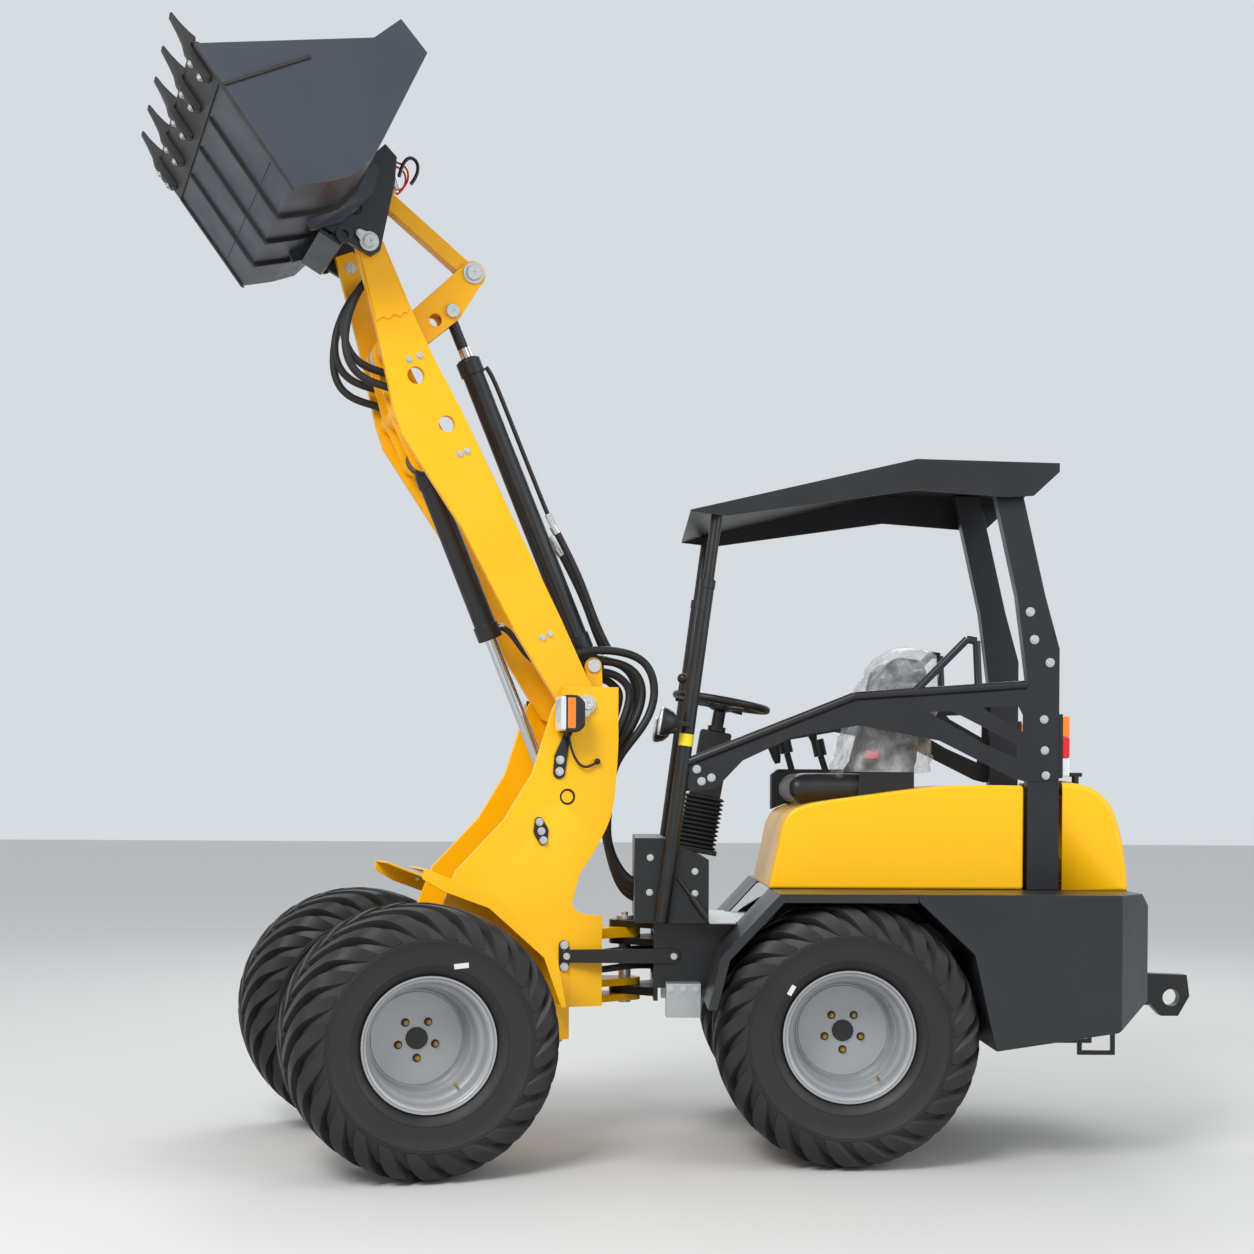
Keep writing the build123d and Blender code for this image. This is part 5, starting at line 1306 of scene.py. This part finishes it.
lamps = {
    "tailX": -1.454, "tailY": (0.297, 0.343), "tailBase": (0.014, 0.002, 1.266, 1.482),
    "tailDeep": (0.038, 0.012),
    "tail": (           # name, z from, to, finish
        ("indicator", 1.405, 1.476, amberLens), ("stop", 1.335, 1.405, redPlastic),
        ("reverse", 1.272, 1.335, clearLens)),
    "workY": 0.402, "workWay": (1, 0, 0.166), "armInside": 0.374, "arm": (-0.214, -0.160, 1.432, 1.448),
    "lens": ((0.040, 0), (0.046, 0.004), (0.046, 0.010), (0.030, 0.014)), "lensAt": (-0.119, 1.4477),
    "bowl": ((0.018, 0), (0.038, 0.018), (0.047, 0.040), (0.048, 0.052)), "bowlAt": (-0.168, 1.4395),
}
louvres = {
    "slat": (-0.004, 0.004, -0.225, 0.225, -0.001, 0.008),
    "rows": (           # name, first, last, count
        ("top", (-1.476, 0, 1.2525), (-1.536, 0, 1.2452), 5),
        ("slope", (-1.552, 0, 1.2375), (-1.618, 0, 1.1985), 6)),
    "bed": (
        (-1.470, 1.2536), (-1.542, 1.2448), (-1.624, 1.1962), (-1.622, 1.1930), (-1.540, 1.2415),
        (-1.470, 1.2500)),
    "bedHalf": 0.235, "latchStem": ((-1.530, 0.262, 1.240), (-1.530, 0.262, 1.275), 0.012),
    "latchGrip": (-1.552, -1.510, 0.252, 0.272, 1.272, 1.286),
}


def rearLamps():
    body = "chassis"
    s = lamps
    x = s["tailX"]
    near, far = s["tailY"]
    deep, wider, zLow, zHigh = s["tailBase"]
    back, ahead = s["tailDeep"]
    for tag, side in flanks:
        low, high = sorted((side * near, side * far))
        base = piece(f"tail_lamp_base_{tag}", [crate(x - deep, x, low - wider, high + wider, zLow, zHigh)],
                     rearPlace, blackPlastic, body, 0.003)
        if side > 0:
            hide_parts("tail_lamps")
        for name, lensLow, lensHigh, material in s["tail"]:
            lens = crate(x - back, x - ahead, low, high, lensLow, lensHigh - 0.001)
            piece(f"tail_lamp_{name}_{tag}", [lens], rearPlace, material, body, 0.005)
        y = side * s["workY"]
        armX, armEnd, armLow, armHigh = s["arm"]
        lens, bowl = (
            lathe(s[shape], (s[at][0], y, s[at][1]), s["workWay"], 32)
            for shape, at in (("lens", "lensAt"), ("bowl", "bowlAt")))
        arm = crate(armX, armEnd, *sorted((y, side * s["armInside"])), armLow, armHigh)
        holder = piece(f"work_lamp_bowl_{tag}", [bowl, arm], rearPlace, blackPlastic, body, 0.002)
        if side > 0:
            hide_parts("work_lamps")
        piece(f"work_lamp_lens_{tag}", [lens], rearPlace, clearLens, body, 0.001)


def hatchLouvres():
    body = "rear_hatch"
    s = louvres
    slat = meshOf("slat", [crate(*s["slat"])])
    for name, start, end, count in s["rows"]:
        step = (Vector(end) - Vector(start)) / (count - 1)
        slats = grown(repeatRow, slat, {"Count": count, "Step": step, "Material": blackPlastic})
        slats.transform(Matrix.Translation(start))
        finished(f"hatch_louvres_{name}", turnedMesh(slats, rearPlace), None, body, 0.001, 30)
    piece("hatch_louvre_bed", [prism(s["bed"], -s["bedHalf"], s["bedHalf"])],
          rearPlace, blackPlastic, body, 0.0008)
    piece("hatch_latch", [rod(*s["latchStem"], 18), crate(*s["latchGrip"])],
          rearPlace, blackPlastic, body, 0.003)


rearHalf()
steeringWheel()
steeringColumn()
rearLamps()
hatchLouvres()
print("rear half made")


# hoses between the halves
crossingHose = {
    "radius": 0.0145,
    "lines": (          # y, reach behind the tower, height of the loop, drop at the console
        (0.075, -0.078, 1.690, 0.0), (0.040, -0.045, 1.655, 0.02), (0.005, -0.010, 1.620, 0.04),
        (-0.035, 0.015, 1.600, 0.06), (-0.070, -0.060, 1.670, 0.01)),
    "bend": ((0.08, 0, 1.20), (0.03, 0, 0.95)),
}
pivotHose = {"radius": 0.012, "lines": ((0.06, 0.640), (0.015, 0.600), (-0.03, 0.655)), "bend": (-0.06, 0.24)}
lockBar = {
    "pin": (-0.165, 0.262, 0.655), "end": (0.276, 0.2055, 0.655), "wide": (0.026, 0.022), "half": 0.006,
    "pinHead": (0.012, 0.009), "bracket": ((0.282, 0.620, 0.018), (0.282, 0.690, 0.018)), "bracketT": 0.008,
    "bolts": ((0.282, 0.618), (0.282, 0.692)),
}


def crossingHoses():
    # lines from the tower's back down to the console's front, drawn across the pivot as the halves stand
    s = crossingHose
    for number, (y, reach, high, drop) in enumerate(s["lines"], 1):
        inFront = (
            (0.235, y, high - 0.005), (0.160, y, high + 0.015), (0.070, y, high + 0.020),
            (reach + 0.020, y, high - 0.010), (reach - 0.015, y, 1.560), (reach + 0.030, y, 1.440),
            (0.075, y, 1.320), (0.082, y * 0.9, 1.180))
        rearY = y * 0.8 + 0.02
        toRear = (
            (0.070, rearY, 1.050), (0.030, rearY, 0.950 - drop), (-0.010, rearY, 0.905 - drop),
            (-0.045, rearY, 0.895 - drop))
        route = [frontPlace @ Vector(p) for p in inFront] + [rearPlace @ Vector(p) for p in toRear]
        line = hose(f"crossing_hose_{number}", route, s["radius"], Matrix.Identity(4), hoseRubber, None, 16)
        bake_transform(line)
    s = pivotHose
    for number, (y, z) in enumerate(s["lines"], 1):
        toRear = ((-0.100, y, z), (-0.040, y + 0.075, z + 0.01), (0.040, y + 0.095, z))
        inFront = ((0.150, y + 0.075, z - 0.01), (0.265, y + 0.03, z))
        route = [rearPlace @ Vector(p) for p in toRear] + [frontPlace @ Vector(p) for p in inFront]
        line = hose(f"pivot_hose_{number}", route, s["radius"], Matrix.Identity(4), hoseRubber, None, 12)
        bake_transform(line)


def steeringLock():
    # the bar that stops the steering for transport, pinned beside the pivot
    s = lockBar
    start = rearPlace @ Vector(s["pin"])
    end = frontPlace @ Vector(s["end"])
    way = (end - start).normalized()
    across = Vector((-way.y, way.x, 0))
    length = (end - start).length
    here = Matrix.Translation(start) @ Matrix((
        (way.x, across.x, 0, 0), (way.y, across.y, 0, 0), (0, 0, 1, 0), (0, 0, 0, 1)))
    bar = prism(hull((0.0, 0.0, s["wide"][0]), (length, 0.0, s["wide"][1])), -s["half"], s["half"])
    piece("steering_lock_bar", [bar], here, blackPaint, "chassis", 0.002)
    pins = [disc(along, 0.0, s["half"], 1, *s["pinHead"]) for along in (0.0, length)]
    piece("steering_lock_pins", pins, here, zincBolt, "chassis")
    bracket = plate(hull(*s["bracket"]), 1, front["towerOut"], s["bracketT"])
    piece("steering_lock_bracket", [bracket], frontPlace, blackPaint, "front_half", 0.002)
    boltY = front["towerOut"] + s["bracketT"]
    bolts("steering_lock_bolts", [(x, boltY, z) for x, z in s["bolts"]], (0, 1, 0), frontPlace,
          zincBolt, "front_half", 0.011)


crossingHoses()
steeringLock()
print("hoses made")


# seat
padding = {
    "voxel": 0.008, "ease": (0.6, 6), "segments": 4, "pressure": 3.5, "stiff": 25, "frames": 20,
    "cap": 0.014,           # how far the filling may swell a pad
}
seatSettings = {
    "cushion": (-0.920, -0.550, -0.230, 0.230, 1.190, 1.268), "fill": 0.8, "round": (0.032, 0.036),
    "backrest": ((-0.812, 1.270), (-0.905, 1.680), (-0.932, 1.690), (-1.030, 1.680), (-0.982, 1.270)),
    "backHalf": 0.222, "base": (-0.900, -0.600, -0.180, 0.180, 1.150, 1.186),
    "shell": (
        (-0.880, 1.190), (-0.790, 1.185), (-0.800, 1.300), (-0.880, 1.420), (-0.985, 1.420), (-0.985, 1.200)),
    "shellY": (0.222, 0.238), "buckle": (-0.860, -0.815, 0.238, 0.256, 1.330, 1.360),
    "grip": ((0.010, 0.0), (0.016, 0.020), (0.021, 0.055), (0.024, 0.085), (0.019, 0.105), (0.008, 0.112)),
    "grips": ((-0.560, -0.235, 1.39), (-0.700, -0.300, 1.47)), "gripDrop": 0.07, "gripWay": (0.25, 0, 1),
}
filmSettings = {        # deep and wide: the size at the foot, what the top takes off, by which power
    "columns": 72, "rows": 40, "foot": 1.285, "high": 0.440, "middle": (-0.895, 0.095),
    "deep": (0.150, 0.060, 1.5), "wide": (0.262, 0.030, 3), "square": 0.55,
    "closeFrom": 0.86, "closeOver": 0.145, "creases": ((8.0, 0.026), (22.0, 0.034)),
}


def softPad(name, shapes, place, material, body, corner):
    # a padded piece: a softened block, remeshed and filled by a short cloth run
    s = padding
    obj = linked(name, meshOf(name, shapes, place))
    factor, iterations = s["ease"]
    for label, kind, values in (
            ("soft", "BEVEL", {"width": corner, "segments": s["segments"], "limit_method": "ANGLE"}),
            ("skin", "REMESH", {"mode": "VOXEL", "voxel_size": s["voxel"]}),
            ("ease", "SMOOTH", {"factor": factor, "iterations": iterations})):
        modifier = obj.modifiers.new(label, kind)
        for key, value in values.items():
            setattr(modifier, key, value)
    base = evaluated(obj)
    obj.modifiers.clear()
    obj.data = base
    before = [v.co.copy() for v in base.vertices]
    cloth = obj.modifiers.new("fill", "CLOTH")
    cloth.settings.use_pressure = True
    cloth.settings.uniform_pressure_force = s["pressure"]
    cloth.settings.effector_weights.gravity = 0
    cloth.settings.tension_stiffness = s["stiff"]
    scene = bpy.context.scene
    for step in range(1, s["frames"] + 1):
        scene.frame_set(step)
    full = bpy.data.meshes.new_from_object(obj.evaluated_get(bpy.context.evaluated_depsgraph_get()))
    obj.modifiers.clear()
    scene.frame_set(1)
    for vertex, start in zip(full.vertices, before):
        step = vertex.co - start
        if step.length > s["cap"]:
            vertex.co = start + step.normalized() * s["cap"]
    obj.data = full
    obj.data.materials.clear()
    obj.data.materials.append(material)
    obj.data.polygons.foreach_set("use_smooth", [True] * len(obj.data.polygons))
    fine = obj.modifiers.new("fine", "SUBSURF")
    fine.levels = 1
    fine.render_levels = 1
    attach(obj, body)
    return obj


def seat():
    body = "chassis"
    s = seatSettings
    cushionRound, backRound = s["round"]
    cushion = softPad("seat_cushion", [crate(*s["cushion"])],
                      rearPlace, leather, body, cushionRound)
    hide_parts("seat")
    softPad("seat_back", [prism(s["backrest"], -s["backHalf"], s["backHalf"])],
            rearPlace, leather, body, backRound)
    for name, shapes, material in (
            ("seat_base", [crate(*s["base"])], blackPlastic),
            ("seat_side_shell", bothSides(prism(s["shell"], *s["shellY"])), blackPlastic),
            ("belt_buckle", [crate(*s["buckle"])], redPlastic)):
        piece(name, shapes, rearPlace, material, body, 0.004)
    for number, (x, y, z) in enumerate(s["grips"], 1):
        grip = lathe(s["grip"], (x, y, z - s["gripDrop"]), s["gripWay"], 24)
        piece(f"lever_grip_{number}", [grip], rearPlace, blackPlastic, body, 0.001)


def roundedShare(value, power):
    return math.copysign(abs(value) ** power, value)


def seatFilm():
    # the loose clear bag over the backrest, with crumpled folds
    s = filmSettings
    columns, rows = s["columns"], s["rows"]
    points = []
    faces = []
    for row in range(rows + 1):
        t = row / rows
        middle = s["middle"][0] - s["middle"][1] * t
        deep, wide = (size - less * t ** power for size, less, power in (s["deep"], s["wide"]))
        past = (t - s["closeFrom"]) / s["closeOver"]
        close = 1.0 if past < 0 else math.sqrt(max(0.0, 1 - past ** 2))
        for column in range(columns):
            a = 2 * math.pi * column / columns
            x = roundedShare(math.cos(a), s["square"]) * deep * close
            y = roundedShare(math.sin(a), s["square"]) * wide * close
            p = Vector((middle + x, y, s["foot"] + s["high"] * t))
            (soft, softDeep), (sharp, sharpDeep) = s["creases"]
            crease = noise.noise(p * soft) * softDeep + abs(noise.noise(p * sharp)) * sharpDeep
            out = Vector((x, y, 0)).normalized() if (x or y) else Vector((0, 0, 1))
            points.append(p + out * crease)
    for row in range(rows):
        for column in range(columns):
            a = row * columns + column
            b = row * columns + (column + 1) % columns
            faces.append([a, b, b + columns, a + columns])
    faces.append([rows * columns + i for i in range(columns)])
    mesh = bpy.data.meshes.new("seat_film")
    mesh.from_pydata([rearPlace @ p for p in points], [], faces)
    mesh.update()
    area = sum(f.area for f in mesh.polygons)
    film = finished("seat_film", mesh, clearFilm, "chassis", 0.0, 70)
    return area


seat()
print("film area", round(seatFilm(), 3))
print("seat made")


# floor, light and camera
studio = {
    "floor": (0.66, 0.65, 0.63, 1), "floorRough": 0.85, "floorHalf": 40.0,
    "world": (0.90, 0.95, 1.0, 1), "worldLight": 0.75, "aim": (0, 0, 1.2),
    "lights": (         # name, energy, size, place
        ("key", 520.0, 3.0, (3.0, 6.5, 6.5)), ("fill", 120.0, 5.0, (-6.0, 4.0, 3.5)),
        ("back", 160.0, 4.0, (-1.0, -6.0, 6.0))),
}


def stage():
    s = studio
    floor = bpy.data.materials.new("floor_look")
    floor.use_nodes = True
    shader = floor.node_tree.nodes["Principled BSDF"]
    shader.inputs["Base Color"].default_value = s["floor"]
    shader.inputs["Roughness"].default_value = s["floorRough"]
    half = s["floorHalf"]
    ground = bpy.data.meshes.new("floor")
    corners = [(-half, -half, 0), (half, -half, 0), (half, half, 0), (-half, half, 0)]
    ground.from_pydata(corners, [], [[0, 1, 2, 3]])
    ground.materials.append(floor)
    linked("floor", ground)
    world = bpy.data.worlds.new("studio")
    bpy.context.scene.world = world
    world.use_nodes = True
    back = world.node_tree.nodes["Background"]
    back.inputs["Color"].default_value = s["world"]
    back.inputs["Strength"].default_value = s["worldLight"]
    for name, energy, size, place in s["lights"]:
        lamp = bpy.data.lights.new(name, "AREA")
        lamp.energy = energy
        lamp.size = size
        light = linked(name, lamp)
        light.location = place
        light.rotation_euler = (Vector(s["aim"]) - Vector(place)).to_track_quat("-Z", "Y").to_euler()


eyeSettings = {
    "place": (0.0606, 6.7221, 1.2087), "yaw": -0.57, "pitch": -0.70, "roll": 0.29,
    "focal": 54.55, "shift": (0.0, 0.151),     # focal length for a 36 mm wide sensor
}


def camera():
    e = eyeSettings
    lens = bpy.data.cameras.new("camera")
    lens.sensor_width = 36.0
    lens.lens = e["focal"]
    lens.shift_x, lens.shift_y = e["shift"]
    eye = linked("camera", lens)
    yaw, pitch, roll = (math.radians(e[k]) for k in ("yaw", "pitch", "roll"))
    ahead = Vector((math.sin(yaw) * math.cos(pitch), -math.cos(yaw) * math.cos(pitch), math.sin(pitch)))
    level = ahead.cross(Vector((0, 0, 1))).normalized()
    upright = level.cross(ahead)
    right = level * math.cos(roll) + upright * math.sin(roll)
    above = upright * math.cos(roll) - level * math.sin(roll)
    turn = Matrix((right, above, -ahead)).transposed()
    eye.matrix_world = Matrix.Translation(pivot + Vector(e["place"])) @ turn.to_4x4()
    bpy.context.scene.camera = eye


stage()
camera()
bpy.context.scene.view_settings.view_transform = "Standard"
print("scene made")
